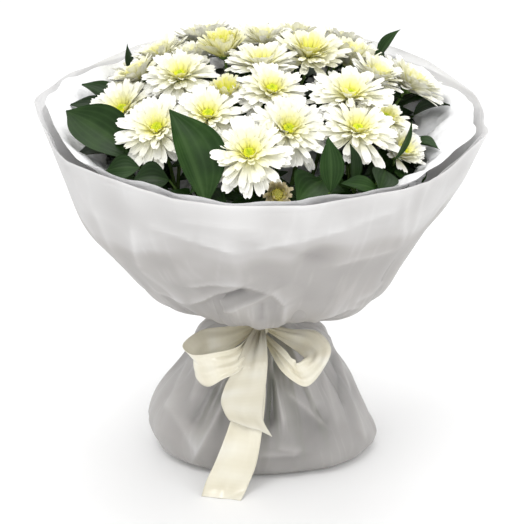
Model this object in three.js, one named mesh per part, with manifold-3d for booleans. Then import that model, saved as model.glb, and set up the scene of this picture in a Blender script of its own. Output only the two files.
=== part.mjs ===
// A hand-tied bouquet of white spray chrysanthemums and green leaves that stands in its own wrap: two
// sheets of frosted film and a sheet of tissue, gathered at a neck by a satin ribbon with a bow.
// Millimetres, +Z up, the front towards -Y. The origin is the middle of the film foot, on the surface.
import * as THREE from 'three';
import { mergeVertices } from 'three/addons/utils/BufferGeometryUtils.js';
import Module from 'manifold-3d';

const wasm = await Module();
wasm.setup();

// Driving dimensions
const GAP = 0.35; // least distance kept between two pieces
const DOME_TOP = 380; // height of the highest flower eye
const DOME_BACK = 20; // the crown of the flower dome lies this far behind the neck
const DOME_FALL = 0.0024; // how fast the dome falls away, per millimetre out, squared
const EYE_DEPTH = 10; // from a flower's eye down to its lowest petals
const NECK_LOW = 130; // the ribbon's band covers the neck between these heights
const NECK_HIGH = 138;
const FLOOR_Z = 2.3; // the cut stems stand on the film foot
const STEM_R = 2.3;
const TWIG_R = 1.5;
const FILM = 1.0; // modelled thickness of one sheet
const SHEET_STEP = 1.45; // from one sheet of the wrap to the next
const RIM_FAN = 1.6; // the sheets stand this much further apart at the rim
const RIBBON = 1.0; // modelled thickness of the ribbon
const AROUND = 22; // facets round the wrap
const TIE_SIDES = 14; // facets round the twine tie
const TIE_THICK = 2;
const TIE_SPAN = [NECK_LOW + 1, NECK_LOW + 5]; // the tie's height range, inside the ribbon's band

// The wrap's outline from the foot to the rim: half width, half depth, height
const NECK_R = 24.5;
const WRAP = [
  [82, 62, 0], [94, 71, 3], [102, 80, 13], [101, 86, 34], [87, 83, 62], [65, 72, 93], [53, 54, 115],
  [31, 31, 125], [NECK_R, NECK_R, NECK_LOW - 1], [NECK_R, NECK_R, NECK_HIGH + 1], [35, 35, 143.5],
  [71, 71, 149.5], [102, 104, 165], [128, 131, 194], [151, 154, 228], [177, 176, 270], [198, 188, 320],
];
const NECK_SHARE = 8 / (WRAP.length - 1);
const RIM = { level: 4, back: 19, left: 3, from: 190 }; // rise of the rim over the outline, above a height
const CORNERS = [{ at: 180, size: 6, spread: 12 }, { at: -360 / AROUND, size: 7, spread: 8 }];
const FOOT_LEAN = { size: 0.08, top: 30 }; // the foot spreads to the right, less and less up to a height
const BELLY_LEAN = { size: 0.055, at: 44, spread: 28 }; // and the belly over it bulges to the left
const PLEATS = 7; // gathers round the wrap
const PLEAT_SHALLOW = 0.012; // their depth away from the neck, and beside it, as a share of the width
const PLEAT_DEEP = 0.07;
const PLEAT_FADE = 32; // height over which the deep part fades
const FAN_FROM = 0.75; // the sheets fan apart from this share of the way up

// The flowers, in order of who gives way to whom: place in plan, how far above or below the dome,
// width, nod away from upright and the bearing it nods to, and how far it is open
const FLOWERS = [
  { x: -11, y: -128, rise: 5, across: 74, nod: 39, to: -95, open: 1 },
  { x: -90, y: -84, rise: 5, across: 72, nod: 36, to: -110, open: 1 },
  { x: 82, y: -87, rise: 4, across: 73, nod: 24, to: -60, open: 1 },
  { x: 23, y: -101, rise: 1, across: 70, nod: 36, to: -75, open: 1 },
  { x: -46, y: -80, rise: 0, across: 67, nod: 28, to: -95, open: 1 },
  { x: -123, y: -22, rise: -4, across: 70, nod: 30, to: -125, open: 1 },
  { x: 76, y: -46, rise: 2, across: 76, nod: 20, to: -80, open: 1 },
  { x: 9, y: -55, rise: -1, across: 66, nod: 25, to: -70, open: 1 },
  { x: -72, y: -12, rise: -1, across: 70, nod: 20, to: -105, open: 1 },
  { x: -30, y: -49, rise: -7, across: 44, nod: 18, to: -90, open: 0.3 },
  { x: 0, y: -10, rise: -3, across: 66, nod: 8, to: -90, open: 0.8 },
  { x: 134, y: 40, rise: 4, across: 70, nod: 34, to: 10, open: 0.8 },
  { x: 42, y: 12, rise: 2, across: 70, nod: 14, to: -70, open: 0.8 },
  { x: -34, y: 16, rise: 3, across: 56, nod: 6, to: 180, open: 0.35 },
  { x: -92, y: 62, rise: 4, across: 62, nod: 20, to: 160, open: 0.9 },
  { x: -52, y: 92, rise: 4, across: 66, nod: 16, to: 115, open: 0.8 },
  { x: 30, y: 94, rise: 1, across: 66, nod: 14, to: 85, open: 0.9 },
  { x: 80, y: 54, rise: -4, across: 62, nod: 16, to: 20, open: 0.5 },
  { x: -112, y: 25, rise: 3, across: 62, nod: 26, to: 175, open: 0.9 },
  { x: 102, y: 12, rise: 1, across: 58, nod: 20, to: -10, open: 0.7 },
  { x: 70, y: 96, rise: 2, across: 66, nod: 20, to: 60, open: 0.8 },
  { x: -12, y: 98, rise: -3, across: 62, nod: 12, to: 95, open: 0.8 },
  { x: 2, y: 48, rise: 0, across: 64, nod: 4, to: 90, open: 0.8 },
  { x: -63, y: 35, rise: -5, across: 50, nod: 10, to: 150, open: 0.5 },
  { x: 108, y: -45, rise: -6, across: 62, nod: 30, to: -25, open: 1 },
  { x: 121, y: -76, rise: -6, across: 48, nod: 42, to: -40, open: 0.5 },
  { x: 13, y: -150, rise: -8, across: 34, nod: 75, to: -80, open: 0.1 },
  { x: -74, y: 132, rise: 0, across: 64, nod: 32, to: 122, open: 1 },
  { x: -29, y: 144, rise: -2, across: 66, nod: 32, to: 103, open: 1 },
  { x: 20, y: 146, rise: -2, across: 66, nod: 33, to: 80, open: 1 },
  { x: 66, y: 142, rise: -1, across: 64, nod: 34, to: 62, open: 1 },
  { x: 124, y: 80, rise: -2, across: 62, nod: 32, to: 35, open: 0.9 },
  { x: -115, y: 96, rise: -4, across: 60, nod: 32, to: 140, open: 0.9 },
];

// Which flowers, by their place in the list above, branch from one stem: the middle spray, then the
// others in order round the neck
const SPRAYS = [
  [7, 9, 10, 12, 13, 22], [0, 3, 4, 26], [2, 6, 24, 25], [11, 17, 19, 31], [16, 20, 29, 30],
  [15, 21, 27, 28], [14, 18, 23, 32], [1, 5, 8],
];
const FORK_DROP = 78; // from the flowers of a spray down to its fork
const SPRAY_RING = 7.4; // the outer sprays pass the tie on this radius
const SPRAY_START = -95; // bearing of the first of them
const TWIST = 0.16; // the stems cross the tie in a spiral: degrees for each millimetre they rise
const SPRAY_SPLAY = [34, 26]; // where their cut ends stand, half width and half depth
const FORK_INWARD = 0.8; // a fork lies at this share of its flowers' distance from the middle

// The leafy stems, in order round the neck, each with its leaves: base, tip, width and roll
const LEAF_RING = 13.6;
const LEAF_START = -140;
const LEAF_SPLAY = [64, 47];
const KNEE_INWARD = 0.62; // a leafy stem's knee lies at this share of its top's distance
const LEAFY = [
  { top: [-98, -72, 285], leaves: [
    { base: [-106, -90, 314], tip: [-171, -20, 338], width: 46, roll: 10 },
    { base: [-103, -112, 312], tip: [-136, -112, 308], width: 22, roll: -15 },
    { base: [-110, -40, 300], tip: [-168, -62, 318], width: 36, roll: 0 },
  ] },
  { top: [-58, -112, 278], leaves: [
    { base: [-47, -142, 290], tip: [-78, -98, 359], width: 50, roll: 12, first: true },
    { base: [-78, -126, 306], tip: [-112, -136, 308], width: 30, roll: 0 },
  ] },
  { top: [26, -112, 275], leaves: [
    { base: [57, -145, 302], tip: [55, -131, 346], width: 22, roll: 0, first: true },
    { base: [50, -125, 305], tip: [29, -154, 297], width: 38, roll: 0 },
    { base: [0, -120, 298], tip: [-14, -150, 294], width: 26, roll: 0 },
  ] },
  { top: [86, -92, 278], leaves: [
    { base: [98, -130, 298], tip: [66, -142, 309], width: 17, roll: 0 },
    { base: [104, -108, 308], tip: [100, -138, 299], width: 25, roll: 0 },
    { base: [76, -124, 300], tip: [74, -114, 334], width: 17, roll: 25, first: true },
  ] },
  { top: [112, -38, 285], leaves: [
    { base: [112, -104, 316], tip: [127, -86, 345], width: 9, roll: 40, first: true },
    { base: [112, -92, 312], tip: [138, -94, 318], width: 24, roll: 0 },
    { base: [122, -30, 314], tip: [154, -44, 326], width: 30, roll: 0 },
  ] },
  { top: [106, 88, 282], leaves: [
    { base: [106, 114, 334], tip: [128, 127, 361], width: 17, roll: 0, first: true },
    { base: [136, 44, 308], tip: [168, 38, 324], width: 34, roll: 0 },
    { base: [124, 66, 312], tip: [158, 78, 326], width: 34, roll: 0 },
  ] },
  { top: [62, 100, 285], leaves: [
    { base: [76, 138, 315], tip: [92, 158, 328], width: 30, roll: 0 },
    { base: [100, 126, 312], tip: [122, 142, 328], width: 32, roll: 0 },
    { base: [38, 142, 310], tip: [44, 172, 322], width: 30, roll: 0 },
  ] },
  { top: [-10, 112, 285], leaves: [
    { base: [-4, 146, 310], tip: [-2, 174, 326], width: 32, roll: 0 },
    { base: [-46, 140, 310], tip: [-50, 168, 326], width: 32, roll: 0 },
  ] },
  { top: [-86, 84, 285], leaves: [
    { base: [-106, 66, 330], tip: [-122, 82, 362], width: 16, roll: 0, first: true },
    { base: [-98, 120, 312], tip: [-112, 142, 328], width: 32, roll: 0 },
    { base: [-122, 76, 312], tip: [-150, 92, 326], width: 32, roll: 0 },
  ] },
  { top: [-112, 8, 285], leaves: [
    { base: [-132, 14, 314], tip: [-170, 22, 330], width: 36, roll: 0 },
    { base: [-128, 44, 312], tip: [-162, 58, 330], width: 32, roll: 0 },
  ] },
];

// The ribbon's two edges along each of its free runs, from the knot outwards
const BOW_RUNS = {
  left_loop: [
    [[-6, -34, 137], [-4, -36, 130]], [[-31, -44, 137], [-33, -54, 114]],
    [[-53, -50, 136], [-50, -60, 107]], [[-69, -74, 133], [-56, -84, 101]],
    [[-62, -88, 129], [-48, -98, 102]], [[-41, -93, 133], [-35, -104, 112]],
    [[-20, -80, 134], [-16, -92, 119]], [[-4, -36, 135], [0, -38, 127]],
  ],
  right_loop: [
    [[1, -34, 137], [1, -36, 131]], [[24, -44, 136], [18, -52, 126]], [[48, -55, 138], [32, -68, 122]],
    [[61, -70, 128], [37, -80, 122]], [[55, -84, 114], [36, -90, 125]], [[38, -96, 102], [29, -93, 124]],
    [[19, -93, 115], [23, -87, 131]], [[4, -42, 122.5], [3, -40, 128.5]],
  ],
  front_tail: [
    [[-7, -35, 132], [2, -35, 132]], [[-17, -92, 122], [5, -86, 128]], [[-35, -98, 106], [5, -96, 116]],
    [[-35, -100, 90], [3, -100, 92]], [[-29, -101, 71], [4, -101, 65]],
  ],
  long_tail: [
    [[-6, -34, 127], [1, -34, 127]], [[-16, -82, 116], [3, -82, 116]], [[-22, -91, 88], [3, -91, 88]],
    [[-30, -97, 62], [0, -97, 58]], [[-41, -101, 32], [-5, -101, 28]], [[-50, -104, 12], [-13, -107, 9]],
    [[-54, -109, 0.7], [-19, -117, 0.7]],
  ],
};
// The knot, from its top down: centre and radius
const KNOT = [[-1, -34, 139.5, 4], [-1, -34, 136, 8.6], [-1, -34, 132, 8.6], [-1, -36.5, 127, 4.5]];

const bearing = (degrees) => [Math.cos((degrees * Math.PI) / 180), Math.sin((degrees * Math.PI) / 180)];
const vec = (x, y, z) => new THREE.Vector3(x, y, z);
const mix = THREE.MathUtils.lerp;
const { clamp } = THREE.MathUtils;

// A closed mesh as a solid, turned the right way out
function solidOf(points, index) {
  const bare = new THREE.BufferGeometry().setFromPoints(points).setIndex(index);
  const merged = mergeVertices(bare, 1e-4);
  const build = (triVerts) => new wasm.Manifold(new wasm.Mesh({
    numProp: 3, vertProperties: merged.attributes.position.array, triVerts,
  }));
  const made = build(new Uint32Array(merged.index.array));
  return made.volume() < 0 ? build(new Uint32Array(merged.index.array).reverse()) : made;
}

// A solid skinned over rings of points: capped at both ends, or closed on itself as a loop. Each quad is
// cut along one diagonal, or along the other where flip says so, so that both faces of a sheet match.
function loft(rings, { loop = false, flip = () => false } = {}) {
  const count = rings[0].length;
  const index = [];
  const spans = loop ? rings.length : rings.length - 1;
  for (let i = 0; i < spans; i++) {
    const here = i * count;
    const next = ((i + 1) % rings.length) * count;
    for (let j = 0; j < count; j++) {
      const k = (j + 1) % count;
      if (flip(i, j)) index.push(here + j, here + k, next + j, here + k, next + k, next + j);
      else index.push(here + j, here + k, next + k, here + j, next + k, next + j);
    }
  }
  if (!loop) {
    const last = (rings.length - 1) * count;
    for (let j = 1; j < count - 1; j++) index.push(0, j + 1, j, last, last + j, last + j + 1);
  }
  return solidOf(rings.flat(), index);
}

// A round rod of changing radius through points
function rod(points, radii, sides) {
  const rings = points.map((p, i) => {
    const along = points[Math.min(i + 1, points.length - 1)].clone()
      .sub(points[Math.max(i - 1, 0)]).normalize();
    const across = vec(0, 1, 0).cross(along).normalize();
    const up = along.clone().cross(across);
    return Array.from({ length: sides }, (_, k) => {
      const [c, s] = bearing((360 * k) / sides);
      return p.clone().addScaledVector(across, radii[i] * c).addScaledVector(up, radii[i] * s);
    });
  });
  return loft(rings);
}

function geometryOf(solid) {
  const mesh = solid.getMesh();
  const geometry = new THREE.BufferGeometry();
  geometry.setAttribute('position', new THREE.BufferAttribute(mesh.vertProperties, 3));
  geometry.setIndex(new THREE.BufferAttribute(mesh.triVerts, 1));
  return geometry;
}

const fuse = (solids) => solids.reduce((whole, piece) => whole.add(piece));

const near = (a, b) => [0, 1, 2].every((k) => a.min[k] <= b.max[k] && b.min[k] <= a.max[k]);

// True where a solid touches none of the others
function isClear(solid, others) {
  const box = solid.boundingBox();
  return others.every((other) => !near(box, other.boundingBox()) || solid.intersect(other).isEmpty());
}

// The wrap's surface: share of the way from foot to rim, bearing round the neck, and how far inside the
// outer sheet. All sheets follow it, so they nest.
const wrapLine = new THREE.CatmullRomCurve3(WRAP.map((p) => vec(...p)), false, 'catmullrom', 0.5);

// A smooth bump of height 1 at one bearing
function bump(degrees, centre, spread) {
  const off = ((degrees - centre + 540) % 360) - 180;
  return Math.exp(-((off / spread) ** 2));
}

// The gathers, as a swelling and shrinking of the wrap's width: deep beside the neck, slight elsewhere
function pleat(degrees, width, height) {
  const nearNeck = Math.exp(-(((height - NECK_LOW) / PLEAT_FADE) ** 2));
  const offBand = clamp((width - NECK_R - 1.5) / 40, 0, 1);
  const depth = PLEAT_SHALLOW + PLEAT_DEEP * nearNeck * offBand;
  return 1 + depth * Math.sin((PLEATS * degrees * Math.PI) / 180 + 1);
}

function wrapPoint(share, degrees, inset) {
  const here = wrapLine.getPoint(share);
  const before = wrapLine.getPoint(Math.max(share - 0.004, 0));
  const step = wrapLine.getPoint(Math.min(share + 0.004, 1)).sub(before);
  const slope = Math.hypot(step.x, step.z);
  const [c, s] = bearing(degrees);
  const width = here.x - (inset * step.z) / slope;
  const depth = here.y - (inset * step.z) / slope;
  const height = here.z + (inset * step.x) / slope;
  const belly = BELLY_LEAN.size * Math.exp(-(((height - BELLY_LEAN.at) / BELLY_LEAN.spread) ** 2));
  const lean = 1 + (FOOT_LEAN.size * Math.max(0, 1 - height / FOOT_LEAN.top) - belly) * c;
  const upper = clamp((height - RIM.from) / (WRAP.at(-1)[2] - RIM.from), 0, 1) ** 1.5;
  const rim = RIM.level + RIM.back * s - RIM.left * c;
  const corner = CORNERS.reduce((sum, { at, size, spread }) => sum + size * bump(degrees, at, spread), 0);
  const swell = pleat(degrees, here.x, here.z);
  return vec(
    width * c * swell * lean + upper * corner * c,
    depth * s * swell + upper * corner * s,
    height + upper * (rim + corner),
  );
}

const around = (pointAt) => Array.from({ length: AROUND }, (_, i) => pointAt((360 * i) / AROUND));

// One sheet of the wrap, from one share of the surface to its own rim, in rows at the outline's points
function sheet(order, from, rim) {
  const spans = Math.round((1 - from) * (WRAP.length - 1));
  const rows = Array.from({ length: spans + 1 }, (_, i) => i / spans);
  const ring = (row, skin) => around((degrees) => {
    const share = from + (1 - from) * row * (row === 1 ? rim(degrees) : 1);
    const fan = 1 + RIM_FAN * clamp((share - FAN_FROM) / (1 - FAN_FROM), 0, 1);
    return wrapPoint(share, degrees, order * SHEET_STEP * fan + skin);
  });
  const rings = [...rows.map((row) => ring(row, 0)), ...rows.reverse().map((row) => ring(row, FILM))];
  return loft(rings, { loop: from > 0, flip: (i) => i > spans });
}

// Each sheet's rim drops a little at the front, the back or the left, where another shows behind it
const backShare = (degrees) => bump(degrees, 90, 60);
const frontShare = (degrees) => bump(degrees, -90, 60);
const filmOuter = sheet(0, 0, (d) => 1 - 0.015 * backShare(d));
const filmInner = sheet(1, NECK_SHARE, (d) => 1 - 0.03 * frontShare(d) - 0.02 * bump(d, 180, 50));
const tissue = sheet(2, NECK_SHARE, (d) => 0.985 + 0.01 * frontShare(d) - 0.02 * backShare(d));

// The ribbon: a band round the neck, a knot at its front, two loops and two tails
const bandRing = (height, out) => around((degrees) => {
  const [c, s] = bearing(degrees);
  const radius = NECK_R * pleat(degrees, NECK_R, height) + out;
  return vec(radius * c, radius * s, height);
});
const band = loft([
  bandRing(NECK_LOW, GAP), bandRing(NECK_LOW, GAP + RIBBON), bandRing(NECK_HIGH, GAP + RIBBON),
  bandRing(NECK_HIGH, GAP),
], { loop: true });
const knot = rod(KNOT.map(([x, y, z]) => vec(x, y, z)), KNOT.map((p) => p[3]), 8);

function ribbonRun(edges) {
  const pairs = edges.map((pair) => pair.map((p) => vec(...p)));
  const rings = pairs.map(([a, b], i) => {
    const [before, after] = [pairs[Math.max(i - 1, 0)], pairs[Math.min(i + 1, pairs.length - 1)]];
    const along = after[0].clone().add(after[1]).sub(before[0]).sub(before[1]).normalize();
    const off = along.cross(b.clone().sub(a)).normalize().multiplyScalar(RIBBON / 2);
    return [a.clone().add(off), a.clone().sub(off), b.clone().sub(off), b.clone().add(off)];
  });
  return loft(rings, { flip: (i, j) => j > 1 });
}

const ribbon = fuse([band, knot, ...Object.values(BOW_RUNS).map(ribbonRun)]);

// Flowers: where each looks, and the point its lowest petals grow from
const frames = FLOWERS.map(({ x, y, rise, nod, to }) => {
  const [c, s] = bearing(to);
  const [up, out] = bearing(nod);
  const facing = vec(out * c, out * s, up);
  const eye = vec(x, y, DOME_TOP - DOME_FALL * (x * x + (y - DOME_BACK) ** 2) + rise);
  const side = vec(0, 0, 1).cross(facing).normalize();
  return { facing, side, front: facing.clone().cross(side), seat: eye.addScaledVector(facing, -EYE_DEPTH) };
});

// A point of a flower: turn round its axis, distance out from it, height above its seat, step aside
function spot({ facing, side, front, seat }, turn, out, up, aside = 0) {
  const [c, s] = bearing(turn);
  return seat.clone().addScaledVector(facing, up)
    .addScaledVector(side, out * c - aside * s).addScaledVector(front, out * s + aside * c);
}

// Petal layers of an open flower, outermost first: length as a share of the reach, rise above the
// flower's plane, bend outwards on the way to the tip, width as a share of the length, and the height
// and radius of the ring they grow from
const PETALS = 8;
const LAYERS = [
  { reach: 1, rise: 16, bend: 16, wide: 0.46, root: 0, ring: 5 },
  { reach: 0.82, rise: 34, bend: 18, wide: 0.46, root: 3.2, ring: 4 },
  { reach: 0.42, rise: 54, bend: 8, wide: 0.5, root: 6.4, ring: 3 },
];
// Where a petal is in the way of another piece: shorter lengths and steeper rises to try, in order
const SHIFTS = [
  [1, 0], [1, -10], [1, 10], [1, 20], [0.86, 0], [0.86, 12], [0.86, 26], [0.72, 0], [0.72, 16], [0.72, 32],
  [0.58, 10], [0.58, 34], [0.44, 30], [0.34, 20], [0.34, 40],
];
const LAYER_STEP = 6; // a petal lifts at least as much as those below it, less these degrees
const SPIN = 37; // each flower is turned this much further than the one before
const CLOSED_RISE = 72; // the petals of a closed flower stand this steep
const VALLEY_AT = 0.4; // share of a petal's length where it parts from its neighbour
const MIDDLE_AT = 0.6;
const SHOULDER_AT = 0.8; // where it is widest
const BLADE = 1; // height of a petal's edge over its path, and depth of its keel under it
const KEEL = 1.4;
const BUD = 0.2; // a flower less open than this is a bud

// A petal's path: out and up at a share of its length
function along({ root, ring, rise, bend }, length, share, lift) {
  const angle = ((rise + lift - bend * share) * Math.PI) / 180;
  return [ring + length * share * Math.cos(angle), root + length * share * Math.sin(angle)];
}

// A plain blade that holds one petal and the gap round it, to test whether the petal is clear
function petalTest(frame, layer, turn, length, lift) {
  const half = (length * layer.wide) / 2 + GAP;
  return loft([[0.3, 0.75], [0.82, 1], [1.02, 0.55]].map(([share, wide]) => {
    const [out, up] = along(layer, length, share, lift);
    const [edge, foot] = [half * wide, half * wide * 0.4];
    return [
      spot(frame, turn, out, up + 1.2, edge), spot(frame, turn, out, up + 1.2, -edge),
      spot(frame, turn, out, up - 1.9, -foot), spot(frame, turn, out, up - 1.9, foot),
    ];
  }));
}

// One flower as a single closed skin. Each petal is a keeled lens that meets its neighbours low down,
// and each layer stands half a petal on from the one below.
function flower(spec, order, others, shrink = 1) {
  const frame = frames[order];
  const reach = (spec.across / 2 - 3.6) * shrink;
  const close = 1 - spec.open;
  const pitch = 360 / PETALS;
  const points = [];
  const index = [];
  const put = (point) => points.push(point) - 1;
  const face = (...corners) => index.push(...corners);
  const turnOf = (k, i) => order * SPIN + (i + k / 2) * pitch;
  const ringOf = (k) => Array.from({ length: PETALS }, (_, i) => put(
    spot(frame, turnOf(k, i), LAYERS[k].ring, LAYERS[k].root),
  ));
  let lower = ringOf(0);
  let below = Array(PETALS).fill(-90);
  for (let i = 1; i < PETALS - 1; i++) face(lower[0], lower[i + 1], lower[i]);
  LAYERS.forEach((layer, k) => {
    const full = reach * mix(layer.reach, 0.9, close * 0.5);
    const raise = mix(0, CLOSED_RISE - layer.rise, close * 0.8);
    const shifts = Array.from({ length: PETALS }, (_, i) => {
      const least = Math.max(below[i], below.at((i + 1) % PETALS)) - LAYER_STEP;
      const allowed = SHIFTS.filter(([, lift]) => lift >= least);
      return allowed.find(([share, lift]) => isClear(
        petalTest(frame, layer, turnOf(k, i), full * share, raise + lift), others,
      )) ?? [0.3, Math.max(least, 20)];
    });
    const valleys = shifts.map(([share, lift], i) => {
      const [otherShare, otherLift] = shifts.at(i - 1);
      const between = raise + (lift + otherLift) / 2;
      const [out, up] = along(layer, full * Math.min(share, otherShare), VALLEY_AT, between);
      return put(spot(frame, turnOf(k, i - 0.5), out, up + 0.3));
    });
    const last = k === LAYERS.length - 1;
    const upper = last ? Array(PETALS).fill(put(spot(frame, 0, 0, EYE_DEPTH - 0.1))) : ringOf(k + 1);
    shifts.forEach(([share, lift], i) => {
      const turn = turnOf(k, i);
      const length = full * share;
      const half = (length * layer.wide) / 2;
      const at = (part, aside, off) => {
        const [out, up] = along(layer, length, part, raise + lift);
        return put(spot(frame, turn, out, up + off, aside));
      };
      const next = (i + 1) % PETALS;
      const [valley, nextValley] = [valleys[i], valleys[next]];
      const tip = at(1, 0, 0.3);
      const edge = last ? [tip] : [at(SHOULDER_AT, -half, BLADE), tip, at(SHOULDER_AT, half, BLADE)];
      const rim = [valley, ...edge, nextValley];
      const [top, keel] = last ? [upper[i], lower[i]] : [at(MIDDLE_AT, 0, 0.1), at(MIDDLE_AT, 0, -KEEL)];
      for (let j = 1; j < rim.length; j++) {
        face(top, rim[j - 1], rim[j]);
        face(keel, rim[j], rim[j - 1]);
      }
      face(lower[i], lower[next], nextValley);
      if (last) return;
      face(lower[i], keel, valley);
      face(lower[i], nextValley, keel);
      face(upper.at(i - 1), valley, top);
      face(upper[i], top, nextValley);
      face(upper.at(i - 1), top, upper[i]);
    });
    lower = upper;
    below = shifts.map(([, lift]) => lift);
  });
  return solidOf(points, index);
}

// Stems. Each passes the tie on its own place in a ring, and the whole bundle turns as it rises.
function bundlePath(place, ringRadius, [wide, deep], top, knee) {
  const at = (height, rx, ry) => {
    const [c, s] = bearing(place + TWIST * (height - NECK_LOW));
    return vec(rx * c, ry * s, height);
  };
  const [under, over] = [NECK_LOW - 6, NECK_HIGH + 6];
  const part = 0.6;
  return [
    at(FLOOR_Z, wide, deep),
    at(mix(FLOOR_Z, under, part), mix(wide, ringRadius, part), mix(deep, ringRadius, part)),
    at(under, ringRadius, ringRadius), at(over, ringRadius, ringRadius), ...knee, top,
  ];
}

const evenly = (path, radius) => path.map(() => radius);

function sprayStem(members, order) {
  const centre = members.reduce((sum, m) => sum.add(frames[m].seat), vec(0, 0, 0));
  centre.divideScalar(members.length);
  const fork = vec(centre.x * FORK_INWARD, centre.y * FORK_INWARD, centre.z - FORK_DROP);
  const place = SPRAY_START + (360 * (order - 1)) / (SPRAYS.length - 1);
  const path = order === 0
    ? bundlePath(0, 0, [0, 0], fork, [])
    : bundlePath(place, SPRAY_RING, SPRAY_SPLAY, fork, []);
  const twigs = members.map((m) => {
    const { seat, facing } = frames[m];
    const cup = FLOWERS[m].open < BUD ? 4 : 6;
    const down = (d) => seat.clone().addScaledVector(facing, -d);
    return rod(
      [fork.clone().add(vec(0, 0, -3)), down(24).lerp(fork, 0.25), down(8), down(GAP)],
      [TWIG_R, TWIG_R, TWIG_R, cup], 4,
    );
  });
  return fuse([rod(path, evenly(path, STEM_R), 5), ...twigs]);
}

// A leaf with its stalk, as one skin over four-cornered rings: left edge, rib, right edge and keel. The
// blade is folded up along its rib and arched towards its tip.
const LEAF_STATIONS = [[0.2, 0.72, 0.7], [0.5, 1, 1], [0.8, 0.6, 0.55], [1, 0.04, 0]];

function leafSkin(stem, base, tip, width, roll, swell = 0) {
  const run = tip.clone().sub(base);
  const ahead = run.clone().normalize();
  const outward = vec(base.x, base.y, 0).normalize().multiplyScalar(0.6).add(vec(0, 0, 0.8));
  const up = outward.addScaledVector(ahead, -outward.dot(ahead)).normalize()
    .applyAxisAngle(ahead, (roll * Math.PI) / 180);
  const across = ahead.clone().cross(up);
  const edgeRing = (centre, side, above, half, fold, thick) => [
    centre.clone().addScaledVector(side, -half - swell).addScaledVector(above, fold),
    centre.clone().addScaledVector(above, thick / 2 + 2 * swell),
    centre.clone().addScaledVector(side, half + swell).addScaledVector(above, fold),
    centre.clone().addScaledVector(above, -thick / 2 - 2 * swell),
  ];
  const section = (centre, forward, half) => {
    const side = across.clone().addScaledVector(forward, -across.dot(forward)).normalize();
    return edgeRing(centre, side, side.clone().cross(forward), half, 0, 2 * half);
  };
  const stalkAhead = base.clone().sub(stem).normalize();
  const middle = stem.clone().lerp(base, 0.6).add(vec(0, 0, -2));
  const rings = [
    section(stem, stalkAhead, 1.6), section(middle, stalkAhead, 1.2),
    section(base, stalkAhead.clone().add(ahead).normalize(), 1),
    ...LEAF_STATIONS.map(([share, wide, high]) => edgeRing(
      base.clone().addScaledVector(run, share).addScaledVector(up, 0.3 * run.length() * share * (1 - share)),
      across, up, Math.max((width / 2) * wide, 0.5), 0.16 * width * high, share === 1 ? 0.7 : 1.3,
    )),
  ];
  return loft(rings, { flip: (i, j) => j > 1 });
}

const LEAF_SCALES = [1, 0.85, 0.7, 0.55];
const LEAF_LIFTS = [0, -7, 7, -14, 14, -22];
const LEAF_SHIFTS = LEAF_SCALES.flatMap((scale) => LEAF_LIFTS.map((lift) => [scale, lift]));

// The leaf at the first of these sizes and tilts that is clear of the other pieces
function leafSolid({ base, tip, width, roll }, stem, others) {
  const root = vec(...base);
  const run = vec(...tip).sub(root);
  for (const [scale, lift] of LEAF_SHIFTS) {
    const end = root.clone().addScaledVector(run, scale).add(vec(0, 0, lift));
    const start = root.clone().add(vec(0, 0, lift * 0.5));
    if (isClear(leafSkin(stem, start, end, width * scale, roll, GAP), others)) {
      return leafSkin(stem, start, end, width * scale, roll);
    }
  }
  throw new Error(`no room for the leaf at ${base}`);
}

const group = new THREE.Group();
function add(name, solid, color, roughness) {
  const material = new THREE.MeshStandardMaterial({ color, roughness, metalness: 0 });
  const mesh = new THREE.Mesh(geometryOf(solid), material);
  mesh.name = name;
  group.add(mesh);
}

const sheets = [filmOuter, filmInner, tissue];
const number = (i) => String(i + 1).padStart(2, '0');
const sprayStems = SPRAYS.map(sprayStem);

// The leaves that hide flowers come before the flowers, and the others give way to them
const leafPaths = LEAFY.map(({ top }, i) => {
  const goal = vec(...top);
  const knee = vec(goal.x * KNEE_INWARD, goal.y * KNEE_INWARD, mix(NECK_HIGH, goal.z, 0.5));
  return bundlePath(LEAF_START + (360 * i) / LEAFY.length, LEAF_RING, LEAF_SPLAY, goal, [knee]);
});
const leafEnd = (i) => leafPaths[i].at(-1).clone().add(vec(0, 0, -1));
const firstLeaves = LEAFY.map(({ leaves }, i) => fuse([
  rod(leafPaths[i], evenly(leafPaths[i], STEM_R), 5),
  ...leaves.filter((leaf) => leaf.first).map((leaf) => leafSolid(leaf, leafEnd(i), sprayStems)),
]));
const FLOWER_SIZES = [1, 0.95, 0.9, 0.85, 0.8, 0.7]; // tried in order until the flower is clear
const flowers = [];
FLOWERS.forEach((spec, i) => {
  const others = [...sprayStems, ...firstLeaves, ...flowers, ...sheets];
  let made;
  FLOWER_SIZES.some((size) => {
    made = flower(spec, i, others, size);
    return isClear(made, others);
  });
  flowers.push(made);
});
const leafyStems = [];
LEAFY.forEach(({ leaves }, i) => {
  const others = [...firstLeaves.slice(i + 1), ...leafyStems, ...sprayStems, ...flowers, ...sheets];
  const later = leaves.filter((leaf) => !leaf.first).map((leaf) => leafSolid(leaf, leafEnd(i), others));
  leafyStems.push(fuse([firstLeaves[i], ...later]));
});

// The twine that ties the stems, close round the leafy ones
const TIE_R = (LEAF_RING + STEM_R + GAP) / Math.cos(Math.PI / TIE_SIDES);
const tieRing = (height, radius) => Array.from({ length: TIE_SIDES }, (_, i) => {
  const [c, s] = bearing((360 * i) / TIE_SIDES);
  return vec(radius * c, radius * s, height);
});
const [TIE_LOW, TIE_HIGH] = TIE_SPAN;
const tie = loft([
  tieRing(TIE_LOW, TIE_R), tieRing(TIE_LOW, TIE_R + TIE_THICK),
  tieRing(TIE_HIGH, TIE_R + TIE_THICK), tieRing(TIE_HIGH, TIE_R),
], { loop: true });

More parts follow.
